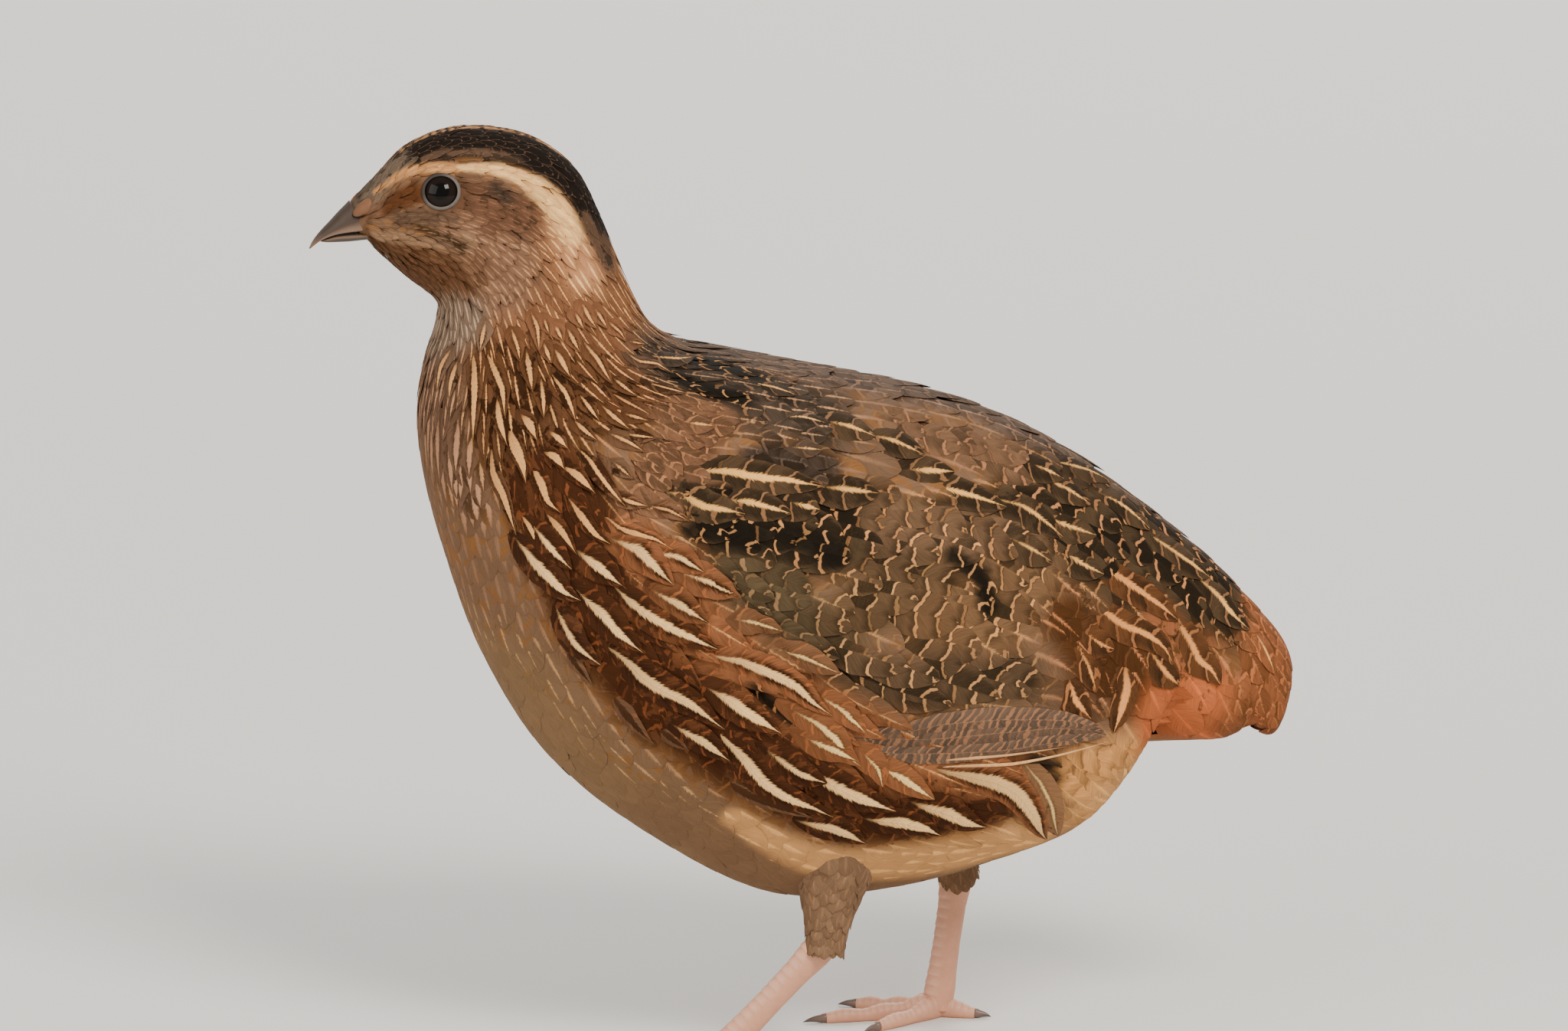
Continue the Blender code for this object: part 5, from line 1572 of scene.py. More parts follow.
@dataclass
class Eye:
    """An eyeball sunk in the head's side and the bare lid round its opening."""

    body: Body
    side: Side
    place: tuple[float, float] = (2.86, 68.6)
    sides: int = 64
    radius: float = 4.0
    sink: float = 3.1
    pupil: float = 1.5
    iris: float = 2.6

    def turned(self, profile: Array, oval: float = 0.0) -> Array:
        """Rings of points round the eye's outward axis.

        Args:
            profile: Radius and height over the ball's middle at each ring.
            oval: How much longer the rings are fore and aft than up and down.

        Returns:
            Points as rings by sides by three.
        """
        q = np.array(self.side.value * math.radians(self.place[1]))
        at, _, _, axis = self.body.frame(np.array(self.place[0]), q)
        fore = unit(np.cross(axis, (0.0, 0.0, 1.0)))
        rise = np.cross(axis, fore)
        turn = turns(self.sides)
        spoke = fore * (1 + oval) * np.cos(turn)[:, None] + rise * (1 - oval) * np.sin(turn)[:, None]
        middle = at - axis * self.sink
        return middle + profile[:, None, :1] * spoke + profile[:, None, 1:] * axis

    def build(self, glass: bpy.types.Material, lid: bpy.types.Material) -> None:
        """The ball, whose Blend tells pupil from iris, and the lid as a flat ring.

        Args:
            glass: The ball's material.
            lid: The lid's material.
        """
        label = self.side.label
        polar = np.linspace(0.02, np.pi - 0.02, 60)
        ball = np.stack([np.sin(polar), np.cos(polar)], axis=1) * self.radius
        obj = closed_loft("eyeball_" + label, self.turned(ball))
        dark = smoothstep(ball[:, 0], self.pupil - 0.08, self.pupil + 0.08)
        dark *= 1 - 0.7 * smoothstep(ball[:, 0], self.iris - 0.5, self.iris)
        dress(obj, glass, "eye", ring_values(np.repeat(dark[:, None], self.sides, axis=1)), "eye_" + label)
        turn = np.linspace(0, 2 * np.pi, 25)
        reach = 3.02 + 0.34 * np.cos(turn)
        ring = np.stack([reach, 3.08 - 0.34 * np.sin(turn) - 0.42 * (reach - 2.3)], axis=1)
        points = self.turned(ring, 0.03)[:-1]
        rows, sides = len(points), self.sides
        r, k = np.meshgrid(np.arange(rows), np.arange(sides), indexing="ij")
        down, after = (r + 1) % rows, (k + 1) % sides
        corners = (r * sides + k, down * sides + k, down * sides + after, r * sides + after)
        faces = np.stack([corner.ravel() for corner in corners], axis=1)
        obj = mesh_object("eyelid_" + label, points, [faces])
        rim = 1 - smoothstep(reach[:-1], 2.72, 2.88)
        around = turns(sides)
        front = smoothstep(-0.8 * self.side.value * np.cos(around) - 0.6 * np.sin(around), -0.1, 0.8)
        blend = np.maximum(rim[:, None], 0.75 * front)
        dress(obj, lid, "head_plumage", np.repeat(blend.reshape(-1, 1), 4, axis=1))


@dataclass
class NostrilFlap:
    """The horny flap that swells over each nostril, with painted shade as a dark slit under its lower edge.
    """

    body: Body
    side: Side
    place: tuple[float, float] = (0.4, 52.0)
    half: tuple[float, float, float] = (2.3, 1.25, 0.75)
    droop: float = 34.0
    rings: int = 16
    sides: int = 40

    def build(self, finish: bpy.types.Material) -> None:
        """Rings out from the dome's top: its height falls as a circle's, and its rim goes under.

        Args:
            finish: Its material.
        """
        share = np.sin(np.linspace(0.02, 1, self.rings) * np.pi / 2)[:, None]
        turn = turns(self.sides)[None, :]
        p = np.full((self.rings, self.sides), self.place[0])
        q = np.full((self.rings, self.sides), self.side.value * math.radians(self.place[1]))
        _, along, across, normal = self.body.frame(p, q)
        ahead = np.array([-math.cos(math.radians(self.droop)), 0.0, -math.sin(math.radians(self.droop))])
        fore = unit(ahead - normal * (normal @ ahead)[..., None])
        beside = np.cross(normal, fore)
        move = fore * (self.half[0] * share * np.cos(turn))[..., None]
        move += beside * (self.half[1] * share * np.sin(turn))[..., None]
        step_p, step_q = solve_step(along, across, move)
        height = self.half[2] * np.sqrt(np.clip(1 - share**2, 0, 1)) - 0.2 * share**4 + 0 * turn
        dome = self.body.raised(p + step_p, q + step_q, height)
        obj = closed_loft("nostril_flap_" + self.side.label, dome)
        # Painted shade: the lower rim turns near-black, for the shade in the nostril's slit under the flap.
        slit_shade = smoothstep(share, 0.7, 0.86) * smoothstep(-move[..., 2] / self.half[1], 0.3, 0.8)
        dress(obj, finish, "horn", ring_values(slit_shade))


@dataclass(frozen=True)
class Toe:
    """A toe: its turn outwards in degrees, its length to the claw, its knuckles and its claw's length."""

    turn: float
    length: float
    knuckles: int
    claw: float


TOES = {
    "inner": Toe(-30.0, 14.5, 2, 3.4),
    "middle": Toe(0.0, 20.5, 3, 3.8),
    "outer": Toe(33.0, 15.5, 3, 3.4),
    "hind": Toe(-158.0, 6.2, 1, 2.6),
}


def scutes(places: Array, weight: Array, depth: float) -> Array:
    """Overlapping plates: each rises slowly and drops at its end, as far as its weight allows."""
    share = places - np.floor(places)
    return depth * (share - smoothstep(share, 0.82, 1.0)) * weight


@dataclass
class Leg:
    """One bare leg: shank, four toes with pads and plates, and their claws."""

    side: Side
    ankle: tuple[float, float, float]
    foot: tuple[float, float]
    turn: float
    half: tuple[float, float] = (2.55, 1.85)
    foot_top: float = 5.2
    toe_radius: float = 1.45
    press: float = 0.25
    root_rise: float = 1.9
    gap: float = 0.3
    scute: float = 1.75
    scute_depth: float = 0.16
    toe_scute: float = 1.25
    toe_scute_depth: float = 0.13
    shank_sides: int = 36
    toe_sides: int = 24
    claw_sides: int = 16

    def shank(self, finish: bpy.types.Material) -> None:
        """The shank from inside the feathered thigh to the foot, with plates down its front.

        Args:
            finish: Its material.
        """
        label = self.side.label
        ankle, foot = np.array(self.ankle), np.array([*self.foot, self.foot_top])
        upward = unit(ankle - foot)
        length = np.linalg.norm(ankle - foot)
        t = np.linspace(-0.07, 1.0 + 3.9 / length, 120)
        path = ankle - upward * (length * t)[:, None]
        rows = np.array([-0.07, 0.03, 0.12, 0.3, 0.6, 0.85, 1.0, 1.2])
        swell = np.interp(t, rows, [0.7, 1.1, 1.12, 0.96, 0.92, 0.97, 1.06, 1.0])
        turn = turns(self.shank_sides)
        front = smoothstep(-np.sin(turn), 0.1, 0.6)[None, :]
        relief = scutes((t * length / self.scute)[:, None], front, self.scute_depth)
        rings = tube(path, self.half[1] * swell, self.half[0] * swell, (1.0, 0.0, 0.0), relief)
        rings[..., 2] = np.maximum(rings[..., 2], 0.0)
        obj = closed_loft("shank_skin_" + label, rings)
        dress(obj, finish, "leg_skin", ring_values(relief / self.scute_depth), "shank_" + label)

    def toes(self, finish: bpy.types.Material, horn: bpy.types.Material) -> None:
        """Toes that bulge at their knuckles, flat on the floor, each with its claw.

        Args:
            finish: The toes' material.
            horn: The claws' material.
        """
        label = self.side.label
        turn = math.radians(self.turn)
        ahead = np.array([-math.cos(turn), -math.sin(turn)])
        outward = np.array([0.0, float(self.side.value)])
        outward = unit(outward - ahead * outward.dot(ahead))
        around = turns(self.toe_sides)
        top = smoothstep(np.sin(around), 0.0, 0.6)[None, :]
        parts, blends, faces, start = [], [], [], 0
        for name, toe in TOES.items():
            heading = ahead * math.cos(math.radians(toe.turn)) + outward * math.sin(math.radians(toe.turn))
            t = np.linspace(0, 1, 70)
            bump = 1 + 0.09 * np.cos(2 * np.pi * (toe.knuckles * t + 0.5))
            size = self.toe_radius * (1.06 - 0.3 * t) * bump
            high = size + self.root_rise / 2 * (1 - t) ** 3
            flat = np.array(self.foot) + heading * (toe.length * t)[:, None]
            path = np.column_stack([flat, high - self.press])
            relief = scutes((t * toe.length / self.toe_scute)[:, None], top, self.toe_scute_depth)
            rings = tube(path, size, high, (0.0, 0.0, 1.0), relief)
            rings[..., 2] = np.maximum(rings[..., 2], 0.0)
            ends = rings[[0, -1]].mean(axis=1)
            parts.append(np.concatenate([rings.reshape(-1, 3), ends]))
            blends.append(ring_values(relief / self.toe_scute_depth))
            faces += [block + start for block in loft_faces(*rings.shape[:2])]
            start += len(parts[-1])
            self.claw(name, label, path[-1], size[-1], heading, toe.claw, horn)
        obj = mesh_object("toes_" + label, np.concatenate(parts), faces)
        dress(obj, finish, "leg_skin", np.concatenate(blends), "foot_" + label)

    def claw(
        self, name: str, label: str, tip: Array, size: float, heading: Array, length: float,
        finish: bpy.types.Material,
    ) -> None:
        """A claw that starts inside the toe's end and curves down to a point on the floor.

        Args:
            name: Which toe it belongs to.
            label: Which side.
            tip: End of the toe's middle line.
            size: The toe's half-width there.
            heading: The toe's direction over the floor.
            length: The claw's length.
            finish: Its material.
        """
        t = np.linspace(-0.3, 1, 28)
        share = np.clip(t, 0, 1)
        radius = np.maximum(0.86 * size * (1 - share) ** 0.8, 0.06)
        flat = tip[:2] + heading * (self.gap + length * t)[:, None]
        height = np.maximum(tip[2] + 0.25 * share - (tip[2] - 0.05) * share**2.2, radius)
        path = np.column_stack([flat, height])
        rings = tube(path, radius * 0.85, radius, (0.0, 0.0, 1.0), np.zeros((len(t), self.claw_sides)))
        obj = closed_loft(f"claw_horn_{name}_{label}", rings)
        blend = ring_values(np.repeat(share[:, None], self.claw_sides, axis=1))
        dress(obj, finish, "claw", blend, f"claw_{name}_{label}")

    def build(self, finish: bpy.types.Material, horn: bpy.types.Material) -> None:
        """The whole leg."""
        self.shank(finish)
        self.toes(finish, horn)


@dataclass
class ThighCoat:
    """The lie of a thigh's feathers: straight down it, at an even spacing."""

    heading: Array
    spacing: float = 2.2

    def at(self, points: Array) -> tuple[Array, Array]:
        """Headings and spacing at points."""
        return np.broadcast_to(self.heading, points.shape), np.full(points.shape[:-1], self.spacing)


@dataclass
class ThighFeathers:
    """Soft feathers round the upper leg, over a plain core."""

    side: Side
    hip: tuple[float, float, float]
    ankle: tuple[float, float, float]
    wide: float
    narrow: float
    count: int = 260
    sink: float = 0.9
    broad: float = 0.27
    taper: float = 0.3
    seed: int = 21

    def build(self, core: bpy.types.Material, coat: bpy.types.Material) -> None:
        """The core, and feathers from evenly spread roots on it.

        Args:
            core: The core's material.
            coat: The feathers' material.
        """
        label = self.side.label
        thigh = Thigh(self.hip, self.ankle, self.wide, self.narrow)
        p, q = np.meshgrid(np.linspace(0.0, 1.02, 30), turns(32), indexing="ij")
        at, _, _, normal = thigh.frame(p, q)
        obj = closed_loft("thigh_skin_" + label, at - normal * self.sink)
        ground = np.tile([*Kind.THIGH.value.numbers()[:3], 1.0], (len(obj.data.vertices), 1))
        add_colour(obj.data, "Ground", ground)
        dress(obj, core, "plumage", None, "thigh_" + label)
        rng = np.random.default_rng(self.seed + self.side.value)
        number = np.arange(self.count)
        p = 0.12 + 0.78 * (number + 0.5) / self.count
        q = number * GOLDEN_ANGLE + rng.normal(0, 0.1, self.count)
        lie = ThighCoat(unit(np.array(self.ankle) - np.array(self.hip)))
        vane = Vane(rows=9, columns=7, arch=0.1)
        length = (5.2 + 3.2 * (1 - p)) * rng.uniform(0.85, 1.15, self.count)
        half = length * self.broad
        lines = vane.lay(thigh, lie, p, q, length, rng.normal(0, 0.12, self.count))
        rise = np.stack([np.full(self.count, -0.8), rng.uniform(0.0, 0.35, self.count)], axis=1)
        numbers = np.tile(Kind.THIGH.value.numbers(), (self.count, 1))
        seed = rng.uniform(0, 1, self.count)
        plumes = Plumes(*lines, length, half, np.full(self.count, self.taper), rise, seed, numbers)
        obj = Plumage(lie, thigh).piece("thigh_feathers_" + label, vane, plumes, coat)


class Graph:
    """Short ways to add and join the nodes of one shader tree."""

    def __init__(self, tree: bpy.types.NodeTree) -> None:
        """Keeps the tree."""
        self.tree = tree

    def put(self, socket: bpy.types.NodeSocket, value: Value) -> None:
        """Joins a socket to another, or sets its number or colour.

        Args:
            socket: The input.
            value: An output, a number, a colour or a vector.
        """
        if isinstance(value, bpy.types.NodeSocket):
            self.tree.links.new(value, socket)
        elif isinstance(value, tuple) and socket.type == "RGBA":
            socket.default_value = (*value, 1.0)
        else:
            socket.default_value = value

    def fill(self, node: bpy.types.Node, inputs: dict) -> None:
        """Joins or sets a node's inputs, given by name or number."""
        for key, value in inputs.items():
            self.put(node.inputs[key], value)

    def node(self, kind: str, inputs: dict | None = None, **settings: object) -> bpy.types.Node:
        """A node with its settings, and its inputs joined or set.

        Args:
            kind: The node's type without its first word.
            inputs: Values or outputs by input.
            **settings: The node's own settings by name.

        Returns:
            The node.
        """
        made = self.tree.nodes.new("ShaderNode" + kind)
        for name, value in settings.items():
            setattr(made, name, value)
        self.fill(made, inputs or {})
        return made

    def math(self, operation: str, *values: Value, clamp: bool = False) -> Socket:
        """One operation on numbers."""
        return self.node("Math", dict(enumerate(values)), operation=operation, use_clamp=clamp).outputs[0]

    def plus(self, *values: Value) -> Socket:
        """Two or more numbers added."""
        return reduce(lambda a, b: self.math("ADD", a, b), values)

    def minus(self, a: Value, b: Value) -> Socket:
        """One number less another."""
        return self.math("SUBTRACT", a, b)

    def times(self, *values: Value) -> Socket:
        """Two or more numbers multiplied."""
        return reduce(lambda a, b: self.math("MULTIPLY", a, b), values)

    def ramp(self, value: Value, low: Value, high: Value, start: float = 0.0, end: float = 1.0) -> Socket:
        """Rises smoothly from start at low to end at high."""
        names = {"Value": value, "From Min": low, "From Max": high, "To Min": start, "To Max": end}
        return self.node("MapRange", names, interpolation_type="SMOOTHSTEP").outputs["Result"]

    def mix(self, share: Value, below: Value, above: Value) -> Socket:
        """One colour laid over another by a share."""
        mixed = self.node("Mix", {0: share, 6: below, 7: above}, data_type="RGBA", clamp_factor=True)
        return mixed.outputs[2]

    def vector(self, x: Value, y: Value, z: Value) -> Socket:
        """Three numbers as one vector."""
        return self.node("CombineXYZ", {"X": x, "Y": y, "Z": z}).outputs[0]

    def parts(self, vector: Value) -> bpy.types.bpy_prop_collection:
        """A vector's three numbers, as outputs X, Y and Z."""
        return self.node("SeparateXYZ", {"Vector": vector}).outputs

    def noise(self, vector: Value, scale: Value, detail: float = 2.0, rough: float = 0.5) -> Socket:
        """A soft random number from 0 to 1 that changes over the vector."""
        names = {"Vector": vector, "Scale": scale, "Detail": detail, "Roughness": rough}
        return self.node("TexNoise", names, noise_dimensions="3D").outputs[0]

    def drawn(self, vector: Value) -> Socket:
        """A random number from 0 to 1 of its own for each vector."""
        return self.node("TexWhiteNoise", {"Vector": vector}, noise_dimensions="3D").outputs[0]

    def scaled(self, colour: Value, value: Value) -> Socket:
        """A colour made lighter or darker by a number."""
        return self.node("VectorMath", {0: colour, "Scale": value}, operation="SCALE").outputs[0]

    def attribute(self, name: str) -> bpy.types.bpy_prop_collection:
        """The outputs of a mesh attribute."""
        return self.node("Attribute", attribute_name=name).outputs

    def place(self) -> Socket:
        """The place on the object, in metres."""
        return self.node("TexCoord").outputs["Object"]

    def bump(self, height: Value, depth: float, strength: float) -> Socket:
        """The surface's direction, tilted by a height."""
        return self.node("Bump", {"Height": height, "Distance": depth, "Strength": strength}).outputs[0]


def new_group(name: str, inputs: dict[str, str], outputs: dict[str, str]) -> tuple:
    """A shader node group with named sockets.

    Args:
        name: The group's name.
        inputs: Socket kinds by input name.
        outputs: Socket kinds by output name.

    Returns:
        The group, its graph, the input sockets by name and the output node's sockets.
    """
    group = bpy.data.node_groups.new(name, "ShaderNodeTree")
    for way, sockets in (("INPUT", inputs), ("OUTPUT", outputs)):
        for key, kind in sockets.items():
            group.interface.new_socket(key, in_out=way, socket_type="NodeSocket" + kind)
    source = group.nodes.new("NodeGroupInput").outputs
    return group, Graph(group), source, group.nodes.new("NodeGroupOutput").inputs


def new_material(name: str) -> tuple[bpy.types.Material, Graph, bpy.types.Node]:
    """A new material, its graph and its Principled node.

    Args:
        name: The material's name.

    Returns:
        The material, its graph and the node.
    """
    made = bpy.data.materials.new(name)
    made.use_nodes = True
    return made, Graph(made.node_tree), made.node_tree.nodes["Principled BSDF"]


class VaneMarkings:
    """The shared pattern of a feather's vane.

    Across the vane runs U from -1 to 1 and along it V from 0 to 1. The shaft streak is where |U| is
    under a width that opens and closes along V, with a dark border beside it. Bars stand a pitch
    apart down the wing's slope, so that neighbours' bars nearly meet. On each web they are bowed by
    the square of U and out of step across the shaft. Each is uneven, may be faint, and darkens the
    web before it, and the whole stretch between two of them may be dark. Barbs slant from the
    shaft, as fine noise along V less |U|.
    """

    SOCKETS = {
        "Vector": ("Vane", "Size", "Place"),
        "Color": ("Ground", "Mark", "Streak", "Bar"),
        "Float": (
            "Seed", "Streak Width", "Streak Start", "Border", "Blotch", "Bars", "Bar Pitch", "Fringe",
            "Barb Contrast",
        ),
    }

    def __init__(self) -> None:
        """Makes the group, the vane's coordinates and the noises that all markings share."""
        inputs = {name: kind for kind, names in self.SOCKETS.items() for name in names}
        made = new_group("Vane Markings", inputs, {"Color": "Color", "Height": "Float"})
        self.group, self.g, self.given, self.out = made
        g, given, seed = self.g, self.given, self.given["Seed"]
        place, size = g.parts(given["Vane"]), g.parts(given["Size"])
        self.u, self.v = place["X"], place["Y"]
        x, y = g.times(self.u, size["Y"]), g.times(self.v, size["X"])
        self.side = g.math("ABSOLUTE", self.u)
        barb = g.minus(y, g.times(g.math("ABSOLUTE", x), 1.1))
        self.fine = g.noise(g.vector(g.times(barb, 3.2), g.times(x, 0.35), g.times(seed, 31.0)), 1.0)
        uneven = g.noise(g.vector(g.plus(x, g.times(seed, 40.0)), g.times(y, 0.7), seed), 0.42)
        self.cloud = g.noise(g.vector(x, y, g.times(seed, 53.0)), 0.32, 3.0, 0.6)
        self.fine_off, self.uneven_off = g.minus(self.fine, 0.5), g.minus(uneven, 0.5)
        self.edge = g.plus(self.side, g.plus(g.times(self.fine_off, 0.4), g.times(self.uneven_off, 0.14)))

    def streak(self) -> tuple[Socket, Socket]:
        """Where the shaft streak lies, and its border.

        Returns:
            Two masks.
        """
        g, given, start = self.g, self.given, self.given["Streak Start"]
        opens = g.ramp(self.v, g.minus(start, 0.1), g.plus(start, 0.45))
        width = g.times(given["Streak Width"], g.times(opens, g.ramp(self.v, 0.75, 1.0, 1.0, 0.3)))
        streaked = g.math("MULTIPLY", given["Streak Width"], 30.0, clamp=True)
        streak = g.ramp(self.edge, g.minus(width, 0.1), g.plus(width, 0.06), 1.0, 0.0)
        streak = g.times(streak, streaked, g.ramp(self.v, start, g.plus(start, 0.22)))
        outer = g.plus(width, given["Border"])
        border = g.ramp(self.edge, g.minus(outer, 0.2), g.plus(outer, 0.2), 1.0, 0.0)
        bordered = g.math("MULTIPLY", given["Border"], 12.0, clamp=True)
        return streak, g.times(border, g.times(bordered, opens), g.ramp(self.cloud, 0.32, 0.6, 0.35, 1.0))

    def bars(self) -> tuple[Socket, Socket, Socket]:
        """Where the bars lie, the dark rim before each, and the blotches or dark blocks.

        Returns:
            Three masks.
        """
        g, given, seed, bars = self.g, self.given, self.given["Seed"], self.given["Bars"]
        web = g.math("SIGN", self.u)
        pitch = g.times(given["Bar Pitch"], 10.0)
        down = g.node("VectorMath", {0: given["Place"], 1: BAR_AXIS}, operation="DOT_PRODUCT")
        run = g.plus(down.outputs["Value"], g.plus(g.times(self.uneven_off, 2.2), g.times(seed, 1.6)))
        phase = g.minus(g.math("DIVIDE", run, pitch), g.times(self.u, self.u, 0.35))
        phase = g.plus(phase, g.times(web, g.plus(0.06, g.times(seed, 0.16))))
        past = g.minus(g.math("FRACT", phase), 0.5)
        off = g.times(g.math("ABSOLUTE", past), pitch)
        thick = g.times(g.minus(self.cloud, 0.12), 0.62)
        shown = g.ramp(g.drawn(g.vector(g.math("FLOOR", phase), web, seed)), 0.05, 0.5, 0.25, 1.0)
        bar = g.times(g.ramp(off, g.minus(thick, 0.08), g.plus(thick, 0.1), 1.0, 0.0), shown, bars)
        rim = g.times(g.ramp(past, -0.5, -0.05), g.ramp(past, 0.06, 0.14, 1.0, 0.0), bars)
        drawn = g.drawn(g.vector(g.math("FLOOR", g.minus(phase, 0.5)), web, seed))
        drawn = g.math("GREATER_THAN", g.plus(drawn, given["Blotch"]), 1.0)
        block = g.times(drawn, g.times(bars, g.ramp(self.edge, 0.6, 0.95, 1.0, 0.2)))
        clouded = g.plus(self.cloud, g.times(g.minus(seed, 0.5), 0.25))
        blotch = g.ramp(clouded, g.minus(0.93, given["Blotch"]), g.minus(1.0, given["Blotch"]))
        return bar, rim, g.mix(bars, blotch, block)

    def build(self) -> bpy.types.NodeTree:
        """Lays the markings over the ground, each over the last, and adds the barbs' height.

        Returns:
            The group.
        """
        g, given, v = self.g, self.given, self.v
        (streak, border), (bar, rim, blotch) = self.streak(), self.bars()
        rim_edge = g.math("MAXIMUM", g.times(self.edge, self.edge), g.ramp(v, 0.8, 1.0))
        fringe = g.times(g.ramp(rim_edge, 0.6, 1.0), given["Fringe"])
        warm = g.mix(0.35, given["Streak"], given["Ground"])
        layers = (
            (blotch, given["Mark"]),
            (g.times(rim, 0.7), given["Mark"]),
            (bar, given["Bar"]),
            (fringe, given["Streak"]),
            (border, given["Mark"]),
            (streak, g.mix(g.ramp(v, given["Streak Start"], 0.8), warm, given["Streak"])),
        )
        colour = given["Ground"]
        for share, over in layers:
            colour = g.mix(share, colour, over)
        shade = g.plus(0.84, g.times(given["Seed"], 0.32))
        barbs = g.plus(1.0, g.times(self.fine_off, given["Barb Contrast"]))
        # Painted shade: each vane darkens towards its root, where the feathers over it would shade it. The
        # seed's random tone and the barbs also vary it.
        light = g.times(shade, barbs, g.ramp(v, 0.0, 0.55, 0.72, 1.0))
        shaft = g.ramp(self.side, 0.0, 0.07, 1.0, 0.0)
        g.put(self.out["Color"], g.scaled(colour, light))
        g.put(self.out["Height"], g.plus(self.fine, g.times(shaft, 0.7)))
        return self.group


@dataclass(frozen=True)
class PlumageFinish:
    """A feather coat's finish: soft, dull vanes that carry the shared pattern."""

    name: str
    group: bpy.types.NodeTree
    roughness: float = 0.8
    specular: float = 0.07
    barb_contrast: float = 0.8
    barb_depth: float = 0.00012
    strength: float = 0.6

    def build(self) -> bpy.types.Material:
        """The material: the pattern reads the numbers stored at the vertices and the vane's map.

        Returns:
            The material.
        """
        made, g, shader = new_material(self.name)
        vane = g.node("UVMap", uv_map="Vane").outputs[0]
        size = g.attribute("Size")["Vector"]
        inputs = {"Vane": vane, "Size": size, "Place": g.place(), "Barb Contrast": self.barb_contrast}
        alphas = {"Ground": "Seed", "Mark": "Blotch", "Streak": "Streak Width", "Bar": "Bars"}
        for name, number in alphas.items():
            source = g.attribute(name)
            inputs |= {name: source["Color"], number: source["Alpha"]}
        detail = g.attribute("Detail")
        parts = g.node("SeparateColor", {"Color": detail["Color"]}).outputs
        inputs |= dict(zip(("Bar Pitch", "Fringe", "Streak Start"), parts, strict=True))
        inputs["Border"] = detail["Alpha"]
        pattern = g.node("Group", inputs, node_tree=self.group).outputs
        g.fill(shader, {
            "Base Color": pattern["Color"],
            "Normal": g.bump(pattern["Height"], self.barb_depth, self.strength),
            "Roughness": self.roughness,
            "Specular IOR Level": self.specular,
        })
        return made


def mottling() -> bpy.types.NodeTree:
    """Shared fine mottling: a value round 1 and a height, from two noises over the place.

    Returns:
        The group.
    """
    kinds = {"Vector": "Vector", "Scale": "Float", "Contrast": "Float"}
    group, g, given, out = new_group("Mottling", kinds, {"Value": "Float", "Height": "Float"})
    broad = g.noise(given["Vector"], given["Scale"], 3.0, 0.6)
    fine = g.noise(given["Vector"], g.times(given["Scale"], 6.0), 2.0)
    both = g.plus(g.times(broad, 0.7), g.times(fine, 0.3))
    g.put(out["Value"], g.plus(1.0, g.times(g.minus(both, 0.5), given["Contrast"])))
    g.put(out["Height"], both)
    return group


@dataclass(frozen=True)
class HideFinish:
    """Bare or painted skin, horn and claw: one or two colours, mottled, with a fine bump.

    Attributes:
        name: The material's name.
        group: The mottling group.
        colour: Base colour, or None to read the painted ground.
        second: The colour that the Blend attribute brings in over it.
    """

    name: str
    group: bpy.types.NodeTree
    colour: Colour | None = None
    second: Colour | None = None
    roughness: float = 0.5
    specular: float = 0.4
    scale: float = 900.0
    contrast: float = 0.5
    depth: float = 0.00008
    coat: float = 0.0
    strength: float = 0.5

    def build(self) -> bpy.types.Material:
        """The material: mottling round the one colour, or round the two that Blend mixes.

        Returns:
            The material.
        """
        made, g, shader = new_material(self.name)
        inputs = {"Vector": g.place(), "Scale": self.scale, "Contrast": self.contrast}
        spots = g.node("Group", inputs, node_tree=self.group).outputs
        if self.colour is None:
            colour = g.attribute("Ground")["Color"]
        else:
            colour = g.mix(g.attribute("Blend")["Fac"], self.colour, self.second)
        g.fill(shader, {
            "Base Color": g.scaled(colour, spots["Value"]),
            "Normal": g.bump(spots["Height"], self.depth, self.strength),
            "Roughness": self.roughness,
            "Specular IOR Level": self.specular,
            "Coat Weight": self.coat,
        })
        return made


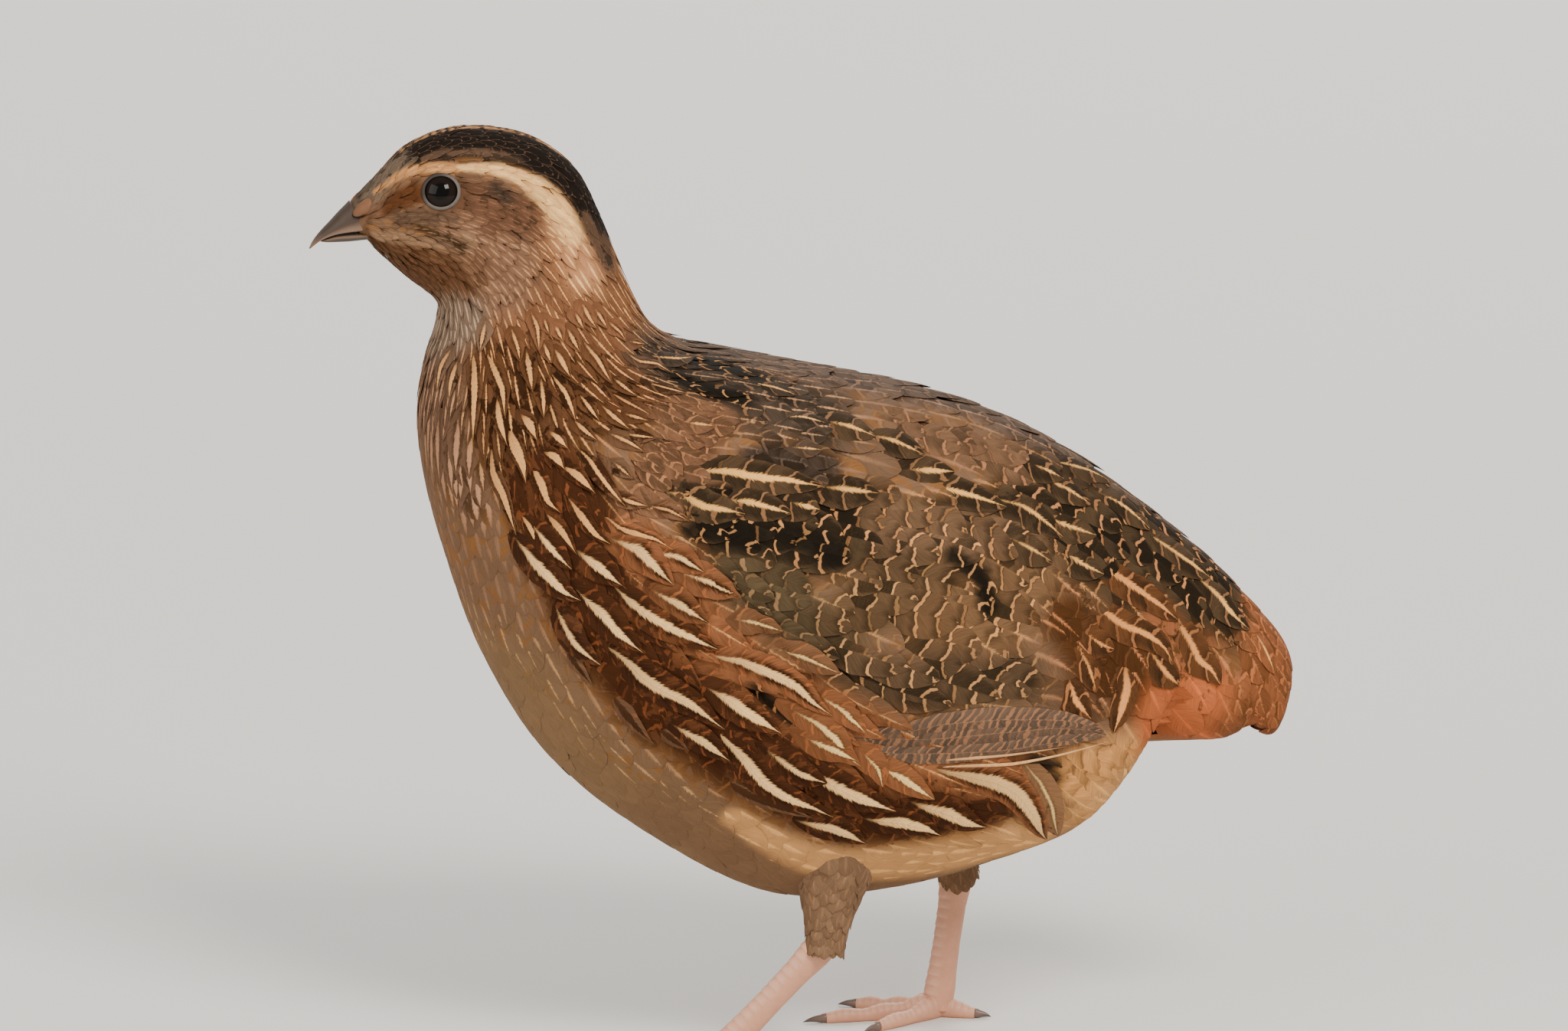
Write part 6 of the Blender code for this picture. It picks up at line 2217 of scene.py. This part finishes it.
@dataclass
class Studio:
    """A pale floor, soft light and the camera at the photograph's angle, placed in metres."""

    view: Viewpoint = Viewpoint()
    floor_half: float = 4.0

    @property
    def target(self) -> Vector:
        """What camera and lamps look at, in metres."""
        return Vector([value * MM for value in self.view.target])

    def aim(self, obj: bpy.types.Object, place: Vector, heading: Vector) -> None:
        """Puts an object at a place, turned to look along a heading.

        Args:
            obj: The object.
            place: Its place in metres.
            heading: Where it looks.
        """
        obj.location = place
        obj.rotation_mode = "QUATERNION"
        obj.rotation_quaternion = heading.to_track_quat("-Z", "Y")
        bpy.context.scene.collection.objects.link(obj)

    def camera(self) -> None:
        """The camera, on its sphere round the target."""
        data = bpy.data.cameras.new("camera")
        data.lens, data.sensor_width = self.view.lens, 36.0
        data.clip_start, data.clip_end = 0.1, 50.0
        obj = bpy.data.objects.new("camera", data)
        back = Vector(self.view.axes()[2])
        self.aim(obj, self.target + back * (self.view.distance * MM), -back)
        bpy.context.scene.camera = obj

    def floor(self) -> None:
        """A large pale floor."""
        half = self.floor_half
        corners = [(-half, -half, 0), (half, -half, 0), (half, half, 0), (-half, half, 0)]
        mesh = bpy.data.meshes.new("floor")
        mesh.from_pydata(corners, [], [(0, 1, 2, 3)])
        obj = bpy.data.objects.new("floor", mesh)
        bpy.context.scene.collection.objects.link(obj)
        made, g, shader = new_material("pale_floor")
        g.fill(shader, {"Base Color": (0.72, 0.71, 0.68), "Roughness": 0.9})
        mesh.materials.append(made)

    def light(self, name: str, place: Colour, size: float, power: float, colour: Colour) -> None:
        """One square area light that looks at the bird.

        Args:
            name: The lamp's name.
            place: Its place in metres.
            size: Its side in metres.
            power: Its power in watts.
            colour: Its linear colour.
        """
        data = bpy.data.lights.new(name, "AREA")
        data.size, data.energy, data.color = size, power, colour
        self.aim(bpy.data.objects.new(name, data), Vector(place), self.target - Vector(place))

    def build(self) -> None:
        """Camera, floor, lamps and the pale sky."""
        self.camera()
        self.floor()
        self.light("key", (0.4, -1.0, 1.1), 0.5, 23.0, (1.0, 0.96, 0.9))
        self.light("fill", (-1.1, -0.7, 0.7), 1.0, 10.0, (1.0, 0.98, 0.96))
        self.light("back", (0.3, 1.1, 0.9), 0.9, 14.0, (1.0, 0.98, 0.95))
        world = bpy.data.worlds.new("sky")
        world.use_nodes = True
        sky = {"Color": (1.0, 0.97, 0.93), "Strength": 0.6}
        Graph(world.node_tree).fill(world.node_tree.nodes["Background"], sky)
        bpy.context.scene.world = world


def main() -> None:
    """Builds the studio and then the bird, piece by piece."""
    logging.basicConfig(level=logging.INFO, format="%(name)s: %(message)s")
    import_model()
    Studio().build()
    body = Body()
    coat = Coat(body)
    spots, pattern = mottling(), VaneMarkings().build()
    own = {
        "body": {},
        "head": {"barb_contrast": 0.6},
        "soft": {"specular": 0.05, "barb_contrast": 0.5},
        "flank": {"barb_contrast": 0.9},
        "wing": {},
    }
    plumage = {
        name: PlumageFinish(name + "_plumage", pattern, **change).build() for name, change in own.items()
    }
    downy = HideFinish("feather_skin", spots, roughness=0.85, specular=0.05).build()
    # Base colour, second colour, roughness and specular, then where they differ the mottling's
    # scale, contrast and depth.
    horn, low_horn, flap, claw, leg_skin, lid, glass = (
        HideFinish(name, spots, *values).build()
        for name, *values in (
            ("bill_horn", (0.050, 0.032, 0.022), (0.22, 0.135, 0.09), 0.45, 0.25),
            ("lower_bill_horn", (0.07, 0.047, 0.03), (0.16, 0.105, 0.07), 0.45, 0.3),
            # The nostril flap's second colour is the painted shade of the slit under it.
            ("nostril_flap", (0.17, 0.075, 0.036), (0.008, 0.005, 0.004), 0.6, 0.2),
            ("claw_horn", (0.16, 0.10, 0.075), (0.07, 0.045, 0.035), 0.35, 0.5),
            ("leg_skin", (0.60, 0.29, 0.18), (0.68, 0.39, 0.27), 0.5, 0.3, 700.0, 0.35, 0.0001),
            ("lid_skin", (0.125, 0.10, 0.085), (0.016, 0.010, 0.007), 0.6, 0.15, 1500.0),
            ("eye_glass", (0.002, 0.0016, 0.0014), (0.010, 0.005, 0.003), 0.03, 0.14, 2500.0, 0.4, 0.0),
        )
    )
    Skin(coat, body).build(downy)
    BodyFeathers(coat, body).build(plumage)
    QuillFeathers(body, coat, QUILLS).build(plumage["wing"])
    TailFeathers(body, coat).build(plumage["body"])
    Bill().build(horn, low_horn)
    for side in Side:
        Eye(body, side).build(glass, lid)
        NostrilFlap(body, side).build(flap)
    ankles = {Side.LEFT: (0.2, -16.0, 22.3), Side.RIGHT: (28.0, 15.1, 26.3)}
    Leg(Side.LEFT, ankles[Side.LEFT], (-15.8, -15.0), 2.0).build(leg_skin, claw)
    Leg(Side.RIGHT, ankles[Side.RIGHT], (24.8, 14.0), 4.0).build(leg_skin, claw)
    for side, hip, wide, narrow in (
        (Side.LEFT, (3.0, -14.0, 46.0), 13.0, 3.4), (Side.RIGHT, (23.0, 13.0, 50.0), 11.0, 3.5),
    ):
        ThighFeathers(side, hip, ankles[side], wide, narrow).build(downy, plumage["body"])


if __name__ == "__main__":
    main()
